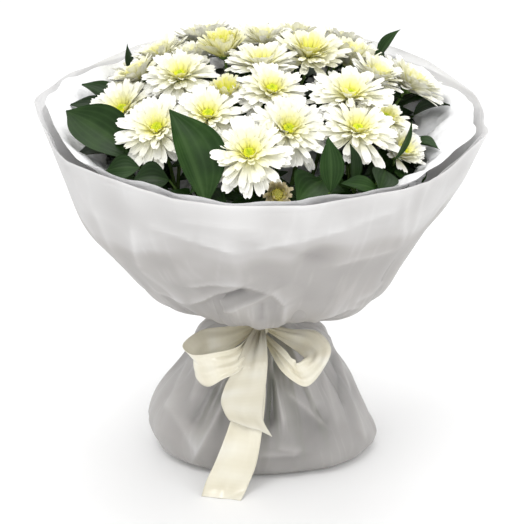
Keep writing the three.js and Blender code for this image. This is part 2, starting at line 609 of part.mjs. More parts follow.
add('film_outer', filmOuter, 0xe6e5e4, 0.45);
add('film_inner', filmInner, 0xe6e5e4, 0.45);
add('tissue', tissue, 0xf7f7f8, 0.9);
add('ribbon', ribbon, 0xf0e9d7, 0.35);
add('stem_tie', tie, 0xb9a77c, 0.8);
sprayStems.forEach((stem, i) => add(`spray_stem_${i + 1}`, stem, 0x5f7a3a, 0.6));
leafyStems.forEach((stem, i) => add(`leafy_stem_${number(i)}`, stem, 0x33512b, 0.45));
flowers.forEach((one, i) => add(`flower_${number(i)}`, one, 0xf6f2e2, 0.7));

export default group;
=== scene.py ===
"""A hand-tied bouquet of white spray chrysanthemums in frosted film and tissue, with a satin bow.

Lengths are in millimetres in the part's own frame until a mesh is made. The camera and the lights are in
metres. +Z is up and the front looks towards -Y. Each finer piece stands for the solid of the same name.
"""

import math

import bpy
import numpy as np
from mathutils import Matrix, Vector, noise
from mathutils.bvhtree import BVHTree


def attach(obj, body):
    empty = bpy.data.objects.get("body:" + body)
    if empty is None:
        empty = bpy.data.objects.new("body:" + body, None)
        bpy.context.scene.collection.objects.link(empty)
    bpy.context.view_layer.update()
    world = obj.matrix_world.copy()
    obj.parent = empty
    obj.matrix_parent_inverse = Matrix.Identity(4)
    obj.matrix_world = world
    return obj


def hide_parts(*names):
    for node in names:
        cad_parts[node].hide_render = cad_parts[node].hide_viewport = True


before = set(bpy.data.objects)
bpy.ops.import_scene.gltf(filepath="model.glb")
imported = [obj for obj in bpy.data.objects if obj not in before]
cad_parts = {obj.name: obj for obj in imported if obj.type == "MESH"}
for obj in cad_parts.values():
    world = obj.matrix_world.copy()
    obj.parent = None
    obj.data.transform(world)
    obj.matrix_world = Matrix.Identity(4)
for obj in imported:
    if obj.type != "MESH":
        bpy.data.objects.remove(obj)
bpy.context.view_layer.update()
MM = 0.001
rng = np.random.default_rng(11)


# Camera and lights

def add_object(name, data):
    obj = bpy.data.objects.new(name, data)
    bpy.context.scene.collection.objects.link(obj)
    return obj


CAMERA_TILT = math.radians(22)
CAMERA_AWAY = 2.4
AIM = Vector((0, 0, 0.181))
lens = bpy.data.cameras.new("camera")
lens.sensor_width = 36
lens.lens = 183.2
camera = add_object("camera", lens)
back = Vector((0, -math.cos(CAMERA_TILT), math.sin(CAMERA_TILT)))
camera.location = AIM + back * CAMERA_AWAY
camera.rotation_mode = "QUATERNION"
camera.rotation_quaternion = (-back).to_track_quat("-Z", "Y")
bpy.context.scene.camera = camera


def area_light(name, place, aim_height, size, power):
    data = bpy.data.lights.new(name, "AREA")
    data.shape = "DISK"
    data.size = size
    data.energy = power
    obj = add_object(name, data)
    obj.location = place
    obj.rotation_mode = "QUATERNION"
    obj.rotation_quaternion = (Vector(place) - Vector((0, 0, aim_height))).to_track_quat("Z", "Y")


bpy.context.scene.view_settings.view_transform = "Standard"
area_light("key", (-0.65, -1.35, 2.2), 0.25, 1.1, 17)
area_light("fill", (1.7, -1.4, 1.3), 0.2, 1.4, 8)
area_light("top", (0.1, 0.7, 2.4), 0.3, 1.8, 22)
area_light("front", (0.3, -2.5, 1.3), 0.25, 1.6, 7)

world = bpy.data.worlds.new("studio")
bpy.context.scene.world = world
world.use_nodes = True
sky = world.node_tree.nodes["Background"]
sky.inputs["Color"].default_value = (1, 1, 1, 1)
sky.inputs["Strength"].default_value = 0.82


# Materials

class Shader:
    """A material with one Principled shader, and short ways to add the nodes that feed it."""

    def __init__(self, name, **sockets):
        self.material = bpy.data.materials.new(name)
        self.material.use_nodes = True
        self.tree = self.material.node_tree
        self.main = self.tree.nodes["Principled BSDF"]
        for key, value in sockets.items():
            self.main.inputs[key.replace("_", " ")].default_value = value

    def node(self, kind, **inputs):
        made = self.tree.nodes.new(kind)
        for key, value in inputs.items():
            self.feed(value, made.inputs[key])
        return made

    def feed(self, value, socket):
        if isinstance(value, bpy.types.NodeSocket):
            self.tree.links.new(value, socket)
        else:
            socket.default_value = value

    def attribute(self, name):
        made = self.node("ShaderNodeAttribute")
        made.attribute_name = name
        return made.outputs["Fac"]

    def math(self, operation, *values):
        made = self.node("ShaderNodeMath")
        made.operation = operation
        for socket, value in zip(made.inputs, values):
            self.feed(value, socket)
        return made.outputs[0]

    def place(self):
        return self.node("ShaderNodeTexCoord").outputs["Object"]

    def noise(self, scale, detail=3.0, vector=None, rough=0.5):
        made = self.node("ShaderNodeTexNoise", Scale=scale, Detail=detail, Roughness=rough)
        self.feed(self.place() if vector is None else vector, made.inputs["Vector"])
        return made.outputs["Fac"]

    def ramp(self, factor, stops):
        made = self.node("ShaderNodeValToRGB", Fac=factor)
        band = made.color_ramp
        while len(band.elements) < len(stops):
            band.elements.new(0.5)
        for element, (where, colour) in zip(band.elements, stops):
            element.position = where
            element.color = (*colour, 1)
        return made.outputs["Color"]

    def times(self, value, factor):
        return self.math("MULTIPLY", value, factor)

    def mix(self, factor, a, b, blend="MIX"):
        made = self.node("ShaderNodeMix")
        made.data_type = "RGBA"
        made.blend_type = blend
        self.feed(factor, made.inputs[0])
        for socket, value in ((made.inputs[6], a), (made.inputs[7], b)):
            self.feed(value if isinstance(value, bpy.types.NodeSocket) else (*value, 1), socket)
        return made.outputs[2]

    def halves(self, value):
        """A value from -1 to 1 brought to 0 to 1."""
        return self.math("MULTIPLY_ADD", value, 0.5, 0.5)

    def stripes(self, name, rate):
        return self.math("SINE", self.times(self.attribute(name), rate))

    def set(self, name, socket):
        self.tree.links.new(socket, self.main.inputs[name])

    def colour(self, socket):
        self.set("Base Color", socket)

    def tinted(self, base):
        """The base colour, times the tint held on the surface."""
        tint = self.attribute("tint")
        grey = self.node("ShaderNodeCombineColor", Red=tint, Green=tint, Blue=tint).outputs[0]
        self.colour(self.mix(1.0, base, grey, "MULTIPLY"))

    def bump(self, height, strength, distance):
        made = self.node("ShaderNodeBump", Height=height, Strength=strength, Distance=distance)
        self.set("Normal", made.outputs[0])


def petal_material():
    s = Shader("petal", Roughness=0.55, Sheen_Weight=0.08, Specular_IOR_Level=0.3)
    base = s.ramp(s.attribute("warm"), [
        (0.0, (0.98, 0.975, 0.93)), (0.28, (0.97, 0.955, 0.70)), (0.52, (0.96, 0.92, 0.28)),
        (0.75, (0.84, 0.86, 0.035)), (1.0, (0.40, 0.56, 0.012)),
    ])
    streak = s.stripes("across", 15.0)
    base = s.mix(s.math("MULTIPLY_ADD", streak, 0.02, 0.02), base, (0.80, 0.79, 0.68))
    s.tinted(s.mix(s.attribute("stain"), base, (0.52, 0.40, 0.20)))
    s.bump(s.halves(streak), 0.35, 0.0006)
    return s.material


def leaf_material():
    s = Shader("leaf", Specular_IOR_Level=0.16)
    soft = s.noise(38.0)
    base = s.ramp(soft, [
        (0.25, (0.005, 0.017, 0.002)), (0.55, (0.010, 0.030, 0.004)), (0.8, (0.021, 0.050, 0.009)),
    ])
    vein = s.math("POWER", s.halves(s.stripes("across", 24.0)), 3.0)
    base = s.mix(s.times(vein, 0.10), base, (0.06, 0.11, 0.04))
    rib = s.attribute("rib")
    base = s.mix(s.times(rib, 0.22), base, (0.08, 0.14, 0.045))
    s.tinted(s.mix(s.attribute("woody"), base, (0.12, 0.2, 0.045)))
    s.set("Roughness", s.math("MULTIPLY_ADD", soft, 0.25, 0.28))
    s.bump(s.math("ADD", vein, s.times(rib, 1.5)), 0.2, 0.0004)
    return s.material


FILM_WHITE = 0.97


def film_material(name, alpha):
    s = Shader(name, Roughness=0.38, Specular_IOR_Level=0.4)
    cloudy = tuple(FILM_WHITE * share for share in (0.97, 0.965, 0.96))
    base = s.ramp(s.noise(9.0), [(0.3, cloudy), (0.7, (FILM_WHITE,) * 3)])
    # The painted shade turned to colour: warmer where it is darker
    tone = s.ramp(s.attribute("shade"), [
        (0.0, (0.0, 0.0, 0.0)), (0.5, (0.5, 0.481, 0.466)),
        (0.65, (0.648, 0.639, 0.634)), (1.0, (1.0, 1.0, 1.0)),
    ])
    s.colour(s.mix(1.0, base, tone, "MULTIPLY"))
    patchy = s.math("MULTIPLY_ADD", s.noise(5.0, 2.0), 0.1, alpha)
    s.set("Alpha", s.times(s.attribute("veil"), patchy))
    fine = s.noise(120.0, rough=0.6)
    wide = s.noise(22.0, 2.0)
    s.bump(s.math("MULTIPLY_ADD", wide, 3.0, fine), 0.25, 0.0008)
    return s.material


def tissue_material():
    s = Shader("tissue", Roughness=0.85, Specular_IOR_Level=0.2)
    stretched = s.node("ShaderNodeMapping", Vector=s.place(), Scale=(300.0, 300.0, 60.0)).outputs[0]
    fibre = s.noise(1.0, 5.0, stretched, 0.65)
    s.colour(s.ramp(fibre, [(0.3, (0.93, 0.93, 0.94)), (0.65, (0.98, 0.98, 0.99))]))
    crush = s.node("ShaderNodeTexVoronoi", Scale=90.0, Vector=s.place())
    crush.feature = "DISTANCE_TO_EDGE"
    s.bump(s.math("MULTIPLY_ADD", crush.outputs["Distance"], 2.0, fibre), 0.4, 0.001)
    return s.material


def satin_material():
    s = Shader("satin", Sheen_Weight=0.1, Anisotropic=0.5, Specular_IOR_Level=0.7)
    weave = s.math("ADD", s.stripes("across", 260.0), s.stripes("along", 900.0))
    weave = s.math("MULTIPLY_ADD", weave, 0.25, 0.5)
    # Painted sheen: soft lighter and darker bands along the ribbon, standing for the light on its fine folds
    across = s.times(s.attribute("across"), 0.9)
    along = s.times(s.attribute("along"), 30.0)
    soft = s.noise(1.0, 0.0, s.node("ShaderNodeCombineXYZ", X=across, Y=along).outputs[0])
    base = s.ramp(soft, [(0.3, (0.70, 0.655, 0.51)), (0.5, (0.75, 0.71, 0.575)), (0.7, (0.81, 0.785, 0.68))])
    # Painted shade on the loops' inner side by the knot: a warmer, yellower colour
    base = s.mix(s.times(s.attribute("inner"), 0.5), base, (0.92, 0.85, 0.60))
    s.tinted(s.mix(s.times(weave, 0.06), base, (0.97, 0.95, 0.88)))
    s.set("Roughness", s.math("MULTIPLY_ADD", soft, 0.08, 0.20))
    s.bump(weave, 0.1, 0.0002)
    return s.material


def twine_material():
    s = Shader("twine", Roughness=0.9, Sheen_Weight=0.3)
    fibre = s.noise(420.0, 4.0)
    s.colour(s.ramp(fibre, [(0.3, (0.38, 0.28, 0.14)), (0.7, (0.62, 0.5, 0.3))]))
    s.bump(fibre, 0.7, 0.0006)
    return s.material


def floor_material():
    s = Shader("floor", Roughness=0.7, Specular_IOR_Level=0.1)
    s.colour(s.ramp(s.noise(3.0), [(0.0, (0.93, 0.93, 0.93)), (1.0, (0.945, 0.945, 0.945))]))
    return s.material


BLOOM = petal_material()
LEAF = leaf_material()
FILM_OUTER = film_material("film_outer", 0.95)
FILM_INNER = film_material("film_inner", 0.80)
TISSUE = tissue_material()
SATIN = satin_material()
TWINE = twine_material()


# Mesh helpers

def grid_faces(rows, cols, closed=False):
    i = np.arange(rows - 1)[:, None] * cols
    j = np.arange(cols if closed else cols - 1)[None, :]
    k = (j + 1) % cols
    return np.stack([i + j, i + k, i + cols + k, i + cols + j], -1).reshape(-1, 4)


class Parts:
    """Grids of points gathered into one mesh, with one number a point for each named attribute."""

    def __init__(self, *names):
        self.points, self.faces, self.count = [], [], 0
        self.values = {name: [] for name in names}

    def add(self, points, closed=False, flip=False, **values):
        """points is (..., rows, cols, 3): one grid, or several of one size."""
        rows, cols = points.shape[-3:-1]
        many = points.reshape(-1, rows, cols, 3)
        faces = grid_faces(rows, cols, closed)
        if flip:
            faces = faces[:, ::-1]
        starts = self.count + np.arange(len(many)) * rows * cols
        self.faces.append((faces[None] + starts[:, None, None]).reshape(-1, 4))
        self.points.append(many.reshape(-1, 3))
        for name, store in self.values.items():
            value = np.asarray(values.get(name, 0.0), float)
            store.append(np.broadcast_to(value, points.shape[:-1]).reshape(-1))
        self.count += len(many) * rows * cols

    def piece(self, name, material, node, slot):
        """The mesh as the finer piece that stands for a solid."""
        mesh = bpy.data.meshes.new(name)
        points = np.concatenate(self.points) * MM
        mesh.from_pydata(points.tolist(), [], np.concatenate(self.faces).tolist(), shade_flat=False)
        for key, store in self.values.items():
            layer = mesh.attributes.new(key, "FLOAT", "POINT")
            layer.data.foreach_set("value", np.concatenate(store).astype(np.float32))
        mesh.materials.append(material)
        obj = add_object(name, mesh)
        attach(obj, "root")
        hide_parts(node)
        return obj


def through(points, at):
    """A smooth curve through evenly numbered points, read at shares from 0 to 1."""
    points = np.asarray(points, float)
    last = len(points) - 1
    place = np.clip(np.asarray(at, float), 0, 1) * last
    i = np.minimum(place.astype(int), last - 1)
    w = (place - i).reshape(place.shape + (1,) * (points.ndim - 1))
    ends = np.concatenate([2 * points[:1] - points[1:2], points, 2 * points[-1:] - points[-2:-1]])
    a, b, c, d = ends[i], ends[i + 1], ends[i + 2], ends[i + 3]
    t0, t1 = (c - a) / 2, (d - b) / 2
    return b + t0 * w + (3 * (c - b) - 2 * t0 - t1) * w ** 2 + (2 * (b - c) + t0 + t1) * w ** 3


def norm(v):
    return np.linalg.norm(v, axis=-1)


def unit(v):
    return v / np.maximum(norm(v), 1e-9)[..., None]


def bearing(degrees):
    a = np.radians(degrees)
    return np.cos(a), np.sin(a)


def hump(value, centre, spread):
    """1 at the centre, falling off smoothly to both sides."""
    return np.exp(-(((value - centre) / spread) ** 2))


def tube(points, radii, sides=8):
    """The grid of a round tube along points; radii is one number a point."""
    points = np.asarray(points, float)
    ahead = unit(np.gradient(points, axis=0))
    side = unit(np.cross(np.array([0.1, 1.0, 0.0]), ahead))
    up = np.cross(ahead, side)
    c, s = bearing(np.arange(sides) * 360 / sides)
    ring = side[:, None] * c[None, :, None] + up[:, None] * s[None, :, None]
    return points[:, None] + ring * np.asarray(radii, float).reshape(-1, 1, 1)


def tree_of(grids):
    """A search tree over coarse grids of points, each (..., rows, cols, 3)."""
    parts = Parts()
    for grid in grids:
        parts.add(grid)
    return BVHTree.FromPolygons(np.concatenate(parts.points).tolist(), np.concatenate(parts.faces).tolist())


def near_by(blockers, middle, reach):
    """The trees of those blockers, each a middle, a reach and a tree, that may meet something there."""
    return [tree for seat, far, tree in blockers if norm(seat - middle) < far + reach]


# The wrap's surface: its section is half width, half depth and height from foot to rim

AROUND = 22
NECK_LOW, NECK_MIDDLE, NECK_HIGH, NECK_R = 130.0, 134.0, 138.0, 24.5
WRAP = [
    (82, 62, 0), (94, 71, 3), (102, 80, 13), (101, 86, 34), (87, 83, 62), (65, 72, 93), (53, 54, 115),
    (31, 31, 125), (NECK_R, NECK_R, NECK_LOW - 1), (NECK_R, NECK_R, NECK_HIGH + 1), (35, 35, 143.5),
    (71, 71, 149.5), (102, 104, 165), (128, 131, 194), (151, 154, 228), (177, 176, 270), (198, 188, 320),
]
NECK_SHARE = 8 / (len(WRAP) - 1)
SLOPE_STEP = 0.004
RIM_LEVEL, RIM_BACK, RIM_LEFT, RIM_FROM = 4, 19, 3, 190
CORNERS = [(180, 6, 12), (-360 / AROUND, 7, 8)]
PLEATS, PLEAT_SHALLOW, PLEAT_DEEP, PLEAT_FADE = 7, 0.012, 0.07, 32
FOOT_LEAN, FOOT_LEAN_TOP = 0.08, 30
BELLY_LEAN, BELLY_AT, BELLY_SPREAD = 0.055, 44, 28


def bump(degrees, centre, spread):
    """As hump, on the way round the wrap."""
    return hump((degrees - centre + 540) % 360 - 180, 0, spread)


def pleat(degrees, width, height):
    deep = hump(height, NECK_LOW, PLEAT_FADE) * np.clip((width - NECK_R - 1.5) / 40, 0, 1)
    return 1 + (PLEAT_SHALLOW + PLEAT_DEEP * deep) * np.sin(np.radians(PLEATS * degrees) + 1)


# The sheets' cut edges make the rim a soft polygon, with its corners at these bearings
RIM_CORNERS = [-180, -146, -112, -80, -46, -16, 14, 38, 62, 95, 128, 152, 180]
FACET_SHARE = 0.5


def facet(degrees):
    """How far a straight run between two corners lies inside the round, as a share of the radius."""
    corners = np.array(RIM_CORNERS, float)
    turn = (np.asarray(degrees) + 180) % 360 - 180
    i = np.clip(np.searchsorted(corners, turn, side="right") - 1, 0, len(corners) - 2)
    half = np.radians(corners[i + 1] - corners[i]) / 2
    off = np.radians(turn - corners[i]) - half
    return 1 - np.cos(half) / np.cos(off)


def wrap_point(share, degrees, inset):
    """The wrap at shares of the way from foot to rim and at bearings, that far inside the outer sheet."""
    share, degrees, inset = np.broadcast_arrays(share, degrees, inset)
    here = through(WRAP, share)
    step = through(WRAP, share + SLOPE_STEP) - through(WRAP, share - SLOPE_STEP)
    slope = np.hypot(step[..., 0], step[..., 2])
    c, s = bearing(degrees)
    width = here[..., 0] - inset * step[..., 2] / slope
    depth = here[..., 1] - inset * step[..., 2] / slope
    height = here[..., 2] + inset * step[..., 0] / slope
    belly = BELLY_LEAN * hump(height, BELLY_AT, BELLY_SPREAD)
    lean = 1 + (FOOT_LEAN * np.maximum(0, 1 - height / FOOT_LEAN_TOP) - belly) * c
    upper = np.clip((height - RIM_FROM) / (WRAP[-1][2] - RIM_FROM), 0, 1) ** 1.5
    rim = RIM_LEVEL + RIM_BACK * s - RIM_LEFT * c
    corner = sum(size * bump(degrees, at, spread) for at, size, spread in CORNERS)
    swell = pleat(degrees, here[..., 0], here[..., 2]) * (1 - FACET_SHARE * upper * facet(degrees))
    return np.stack([
        width * c * swell * lean + upper * corner * c,
        depth * s * swell + upper * corner * s,
        height + upper * (rim + corner),
    ], -1)


# The middle and the spread of the wrap's back and front, for bump
BACK, FRONT = (90, 60), (-90, 60)


def normals_of(grid, closed=True):
    """Unit normals of a grid, out of the wrap."""
    along = np.gradient(grid, axis=0)
    if closed:
        around = (np.roll(grid, -1, 1) - np.roll(grid, 1, 1)) / 2
    else:
        around = np.gradient(grid, axis=1)
    return unit(np.cross(around, along))


# The front view in which creases are given: its middle, the height seen there, and one step's share of the
# distance
VIEW_MIDDLE, VIEW_UP, VIEW_STEP = (262.5, 253.0), 190.0, 0.09825 / 262
WRAP_TREE = tree_of([wrap_point(np.linspace(0, 1, 120)[:, None], np.linspace(0, 360, 121)[None], 0.0)])


def on_wrap(px, py):
    """Where the ray through a point of the front view meets the wrap, or None."""
    c, s = math.cos(CAMERA_TILT), math.sin(CAMERA_TILT)
    eye = np.array([0, -c, s]) * CAMERA_AWAY / MM + [0, 0, VIEW_UP]
    x, y = (px - VIEW_MIDDLE[0]) * VIEW_STEP, (VIEW_MIDDLE[1] - py) * VIEW_STEP
    hit = WRAP_TREE.ray_cast(Vector(eye), Vector(unit(np.array([x, c + y * s, y * c - s]))))[0]
    return None if hit is None else np.array(hit)


CREASE_STEPS = np.linspace(0, 1, 9)
# The painted highlight along a crease, and the painted light and painted shade on the facets to its two
# sides
EDGE_WIDTH, FACET_WIDTH = 2.6, 10.0
EDGE_PAINTED_LIGHT, FACET_PAINTED_LIGHT_SHADE, FULL_PAINTED_LIGHT_AT = 0.4, 1.1, 3


def crease(points, height, width, ends):
    """How far a crease lifts each point, highest along its line on the wrap, and the painted light and shade
    it adds.
    """
    lift, edge = np.zeros(points.shape[:-1]), np.zeros(points.shape[:-1])
    first, last = np.reshape(ends, (2, 2))
    steps = [on_wrap(*(first * (1 - w) + last * w)) for w in CREASE_STEPS]
    steps = np.array([step for step in steps if step is not None])
    if len(steps) < 2:
        return lift, edge
    reach = norm(steps - steps.mean(0)).max() + 5 * width
    near = norm(points - steps.mean(0)) < reach
    spots, run = points[near], np.diff(steps, axis=0)[:, None]
    off = spots - steps[:-1, None]
    share = np.clip((off * run).sum(-1) / np.maximum((run ** 2).sum(-1), 1e-9), 0, 1)
    away = norm(off - share[..., None] * run)
    n, here = away.argmin(0), np.arange(len(spots))
    best, place = away[n, here], (n + share[n, here]) / (len(steps) - 1)
    side = np.sign((np.cross(run, off) * spots * [1, 1, 0]).sum(-1))[n, here]
    fade = np.clip(np.minimum(place, 1 - place) * 6 + 0.25, 0, 1)
    lift[near] = height * fade * np.exp(-best / width)
    turn = side * (1 - np.exp(-best / EDGE_WIDTH)) * np.exp(-best / FACET_WIDTH)
    # Painted highlight on the crease's line, painted light on the facet to one side and painted shade on the
    # other
    painted_light = EDGE_PAINTED_LIGHT * hump(best, 0, EDGE_WIDTH) + FACET_PAINTED_LIGHT_SHADE * turn
    edge[near] = np.clip(height / FULL_PAINTED_LIGHT_AT, 0, 1) * fade * painted_light
    return lift, edge


# Each crease: its two ends in the front view, across and down, how far it stands out, and its width
COLLAR_CREASES = [
    (190, 304, 243, 286, 3.4, 1.7), (272, 293, 224, 314, 3.6, 1.8), (272, 293, 285, 305, 3.4, 1.8),
    (285, 305, 283, 322, 3.0, 1.9), (188, 287, 241, 285, 2.8, 1.5), (243, 286, 272, 294, 2.4, 1.6),
    (218, 300, 246, 291, -2.8, 3.4), (262, 302, 262, 320, -1.6, 3.0), (158, 291, 188, 303, 2.4, 1.8),
    (133, 226, 143, 266, 2.0, 5.0), (143, 266, 186, 307, 1.8, 4.0), (148, 226, 196, 243, 1.6, 2.6),
    (196, 243, 240, 254, 1.9, 2.2), (256, 251, 300, 243, 1.8, 2.4), (300, 243, 350, 228, 1.6, 2.6),
    (332, 267, 398, 250, 1.6, 3.0), (350, 228, 398, 210, 1.2, 3.0), (226, 240, 330, 262, -1.2, 7.0),
    (92, 205, 128, 262, 1.4, 5.0), (310, 322, 360, 300, 1.8, 3.0), (352, 300, 392, 276, 1.6, 3.0),
    (408, 196, 402, 246, 1.4, 4.0), (430, 180, 412, 236, 1.4, 4.0), (176, 222, 262, 232, 1.0, 2.4),
]
BAG_CREASES = [
    (270, 350, 284, 428, 4.2, 2.4), (276, 352, 270, 430, -4.6, 4.0), (286, 391, 326, 426, 3.2, 2.2),
    (258, 456, 300, 455, 1.8, 2.5), (277, 449, 304, 452, 1.4, 2.0), (326, 330, 352, 392, 2.4, 5.0),
    (333, 350, 345, 408, -1.8, 6.0), (192, 356, 167, 408, 2.0, 5.0), (194, 460, 226, 402, 2.6, 3.5),
    (214, 380, 190, 425, -2.4, 7.0), (205, 350, 192, 400, 1.6, 4.0), (300, 360, 316, 412, 2.2, 5.0),
    (296, 380, 330, 428, -1.8, 6.0), (352, 400, 366, 440, 1.5, 5.0), (165, 400, 200, 455, 1.4, 5.0),
    (310, 335, 340, 430, 1.4, 4.0), (238, 385, 228, 460, 1.6, 4.0),
]

# The film's painted shade and light at each height: darkest at the hollow bag, where shade and the stems lie
# behind it, and whitest at the rim, where the light falls from above and the tissue shows through
FILM_HEIGHTS = [0, 20, 60, 90, 115, 134, 150, 175, 215, 246, 262, 300, 325, 345]
FILM_PAINTED_SHADES = [0.44, 0.44, 0.36, 0.39, 0.45, 0.52, 0.49, 0.45, 0.44, 0.47, 0.62, 0.76, 0.82, 0.88]
# How much it hides at each height: most at the collar, least at the rim, where it stands alone
VEIL_HEIGHTS = [0, 110, 140, 270, 300, 322, 345]
VEILS = [0.72, 0.72, 0.82, 0.82, 0.68, 0.50, 0.44]
BAG_TOP, COLLAR_LOW = 125, 200
# Two lighter bands where the tissue's edge lies behind the collar: height, spread and strength
BANDS = [(257, 3, 1.0), (276, 2.5, 0.7)]

# Wrinkles and folds fade within a reach of the neck; folds grow with the distance from the axis
WRINKLE_REACH, WRINKLE_COUNT, WRINKLE_THIN = 60, 11, 0.0625
FOLD_REACH, FOLD_FROM, FOLD_GROWS, FOLD_LEVEL = 55, 27, 22, 0.8


def by_neck(height, reach):
    """1 at the neck, falling off above and below it."""
    return np.exp(-np.abs(height - NECK_MIDDLE) / reach)


def streaks(points, degrees, height, seed):
    """Fine wrinkles that run out of the neck, and soft dents between them, as two numbers a point."""
    c, s = bearing(degrees)
    where = np.stack([WRINKLE_COUNT * c, WRINKLE_COUNT * s, 0.010 * height + seed], -1).reshape(-1, 3)
    lines = np.array([noise.noise(Vector(p)) for p in where]).reshape(height.shape)
    dents = [noise.noise(Vector(p) * 0.03 + Vector((seed, 5, 0))) for p in points.reshape(-1, 3)]
    dents = np.array(dents).reshape(height.shape)
    thin = hump(lines, 0.1, WRINKLE_THIN) * np.clip(0.5 + 2.5 * dents, 0, 1)
    return thin * (0.12 + 0.88 * by_neck(height, WRINKLE_REACH)), dents


def film_folds(points, degrees, creases, seed):
    """Long soft folds that run out of the neck, and the single creases: a height, a painted shade and light,
    and a veil.
    """
    height = points[..., 2]
    near = by_neck(height, FOLD_REACH)
    grow = np.clip((np.hypot(points[..., 0], points[..., 1]) - FOLD_FROM) / FOLD_GROWS, 0, 1)
    a = np.radians(degrees)
    wander = 0.5 * np.sin(2 * a + seed) + 0.004 * height
    folds = 1.6 * np.abs(np.sin(6.5 * a + 3 * wander)) + 1.1 * np.sin(17 * a + 5 * wander + seed)
    folds += 0.7 * np.sin(29 * a - 4 * wander)
    folds -= FOLD_LEVEL
    lines, edges = np.zeros(height.shape), np.zeros(height.shape)
    for *ends, stands, width in creases:
        lift, edge = crease(points, stands, width, ends)
        lines += lift
        edges += edge
    fine, dents = streaks(points, degrees, height, seed)
    out = grow * (0.25 + 1.2 * near) * folds + lines + 0.5 * grow * fine + 1.3 * grow * dents

    drift = height + np.where(
        height > COLLAR_LOW, 6 * np.sin(3 * a + 1 + seed) + 3 * np.sin(7 * a) + 12 * dents, 0,
    )
    wavy = drift + 9 * np.sin(5 * a)
    bands = sum(much * hump(at, *band) for at, (*band, much) in zip((drift, wavy), BANDS))
    side = points[..., 0] / 100
    # Painted shade and light by height, lighter on the ridges of the long folds and darker in their hollows
    shade = np.interp(drift, FILM_HEIGHTS, FILM_PAINTED_SHADES) * (1 + 0.035 * grow * near * folds)
    # Painted light at the sides of the bag, more on the left, and painted shade towards its middle
    shade += np.where(height < BAG_TOP, 0.10 * side ** 2 - 0.04 * side - 0.02, 0)
    # Lighter along the fine wrinkles, partly the film's own whitening there and partly painted highlight;
    # painted light on the soft dents' bulges and painted shade in their hollows; painted light where creases
    # stand out and stronger painted shade where they sink in
    shade += 0.10 * fine + 0.05 * dents + np.where(lines > 0, 0.03, 0.07) * lines
    # The creases' painted highlights and painted facet light and shade, and the lighter bands where the
    # tissue's edge shows through
    shade += 0.10 * edges + 0.03 * bands
    veil = np.interp(height, VEIL_HEIGHTS, VEILS) + 0.06 * fine + 0.03 * lines
    return out, np.clip(shade, 0.2, 1), np.clip(veil, 0.3, 1)


# How far each sheet lies inside the one before, how much that widens towards the rim, and from where
SHEET_STEP, SHEET_INSET, FILM_FAN, TISSUE_FAN, FAN_FROM = 1.45, 0.5, 1.6, 1.1, 0.75


def sheet_grid(order, start, rim, fan, rows, cols):
    """The grid of a sheet from a share of the way up the wrap to its own rim, with its rows and bearings."""
    degrees = (np.arange(cols) * 360 / cols)[None, :]
    row = np.linspace(0, 1, rows)[:, None]
    share = start + (1 - start) * row * (1 - (1 - rim(degrees)) * row ** 3)
    fanned = 1 + fan * np.clip((share - FAN_FROM) / (1 - FAN_FROM), 0, 1)
    return wrap_point(share, degrees, order * SHEET_STEP * fanned + SHEET_INSET), row, degrees


# Where the collar is fuller than a round one: by how much, its bearing, height and spread in height
SWELLS, SWELL_ROUND = [(7.0, 204, 238, 30), (6.0, -28, 178, 22)], 34
# The denser edge of the film, and the height over which the folds fade towards the floor
RIM_EDGE, RIM_DENSER, FOOT_FADE = 0.006, 0.35, 12


def film_sheet(order, start, rim, creases, seed, rows, cols):
    """A film sheet's grid, its painted shade and light, and how dense it looks."""
    grid, row, degrees = sheet_grid(order, start, rim, FILM_FAN, rows, cols)
    height = grid[..., 2]
    folds, shade, veil = film_folds(grid, np.broadcast_to(degrees, height.shape), creases, seed)
    for size, at, middle, spread in SWELLS:
        folds = folds + size * bump(degrees, at, SWELL_ROUND) * hump(height, middle, spread)
    folds = folds * np.clip(height / FOOT_FADE, 0, 1)
    veil = np.clip(veil + RIM_DENSER * np.exp(-(1 - row) / RIM_EDGE), 0, 1)
    return grid + normals_of(grid) * folds[..., None], {"shade": shade, "veil": veil}


# Rings of the foot, the share of its width left open in the middle, its gathers and its height
FOOT_RINGS, FOOT_HOLE, FOOT_GATHERS, FOOT_THICK = 14, 0.02, 23, 3


def foot_grid(ring):
    """The gathered film under the foot, from its outer ring in to the middle."""
    share = np.linspace(1, FOOT_HOLE, FOOT_RINGS)[:, None]
    flat = ring[None] * share[..., None]
    turn = np.arctan2(ring[:, 1], ring[:, 0])[None, :]
    gathers = 0.5 + 0.45 * np.sin(FOOT_GATHERS * turn) * (1 - share)
    rise = ring[None, :, 2] * share ** 8 + gathers * (1 - share ** 6)
    flat[..., 2] = np.clip(rise, 0.05, FOOT_THICK)
    return flat


def make_film_outer():
    grid, looks = film_sheet(
        0, 0.0, lambda d: 1 - 0.015 * bump(d, *BACK), COLLAR_CREASES + BAG_CREASES, 0.3, 236, 400,
    )
    grid[..., 2] = np.maximum(grid[..., 2], 0.1)
    parts = Parts("shade", "veil")
    parts.add(grid, closed=True, **looks)
    parts.add(foot_grid(grid[0]), closed=True, flip=True, shade=0.6, veil=0.8)
    obj = parts.piece("film_outer_sheet", FILM_OUTER, "film_outer", "film")


def make_film_inner():
    grid, looks = film_sheet(
        1, NECK_SHARE, lambda d: 1 - 0.03 * bump(d, *FRONT) - 0.02 * bump(d, 180, 50), COLLAR_CREASES[:3],
        1.7, 130, 260,
    )
    parts = Parts("shade", "veil")
    parts.add(grid, closed=True, **looks)
    obj = parts.piece("film_inner_sheet", FILM_INNER, "film_inner", "film")


# The ridges' dimension, step between octaves, octaves, offset and gain
RIDGES = (0.9, 2.1, 4, 1.0, 2.0)


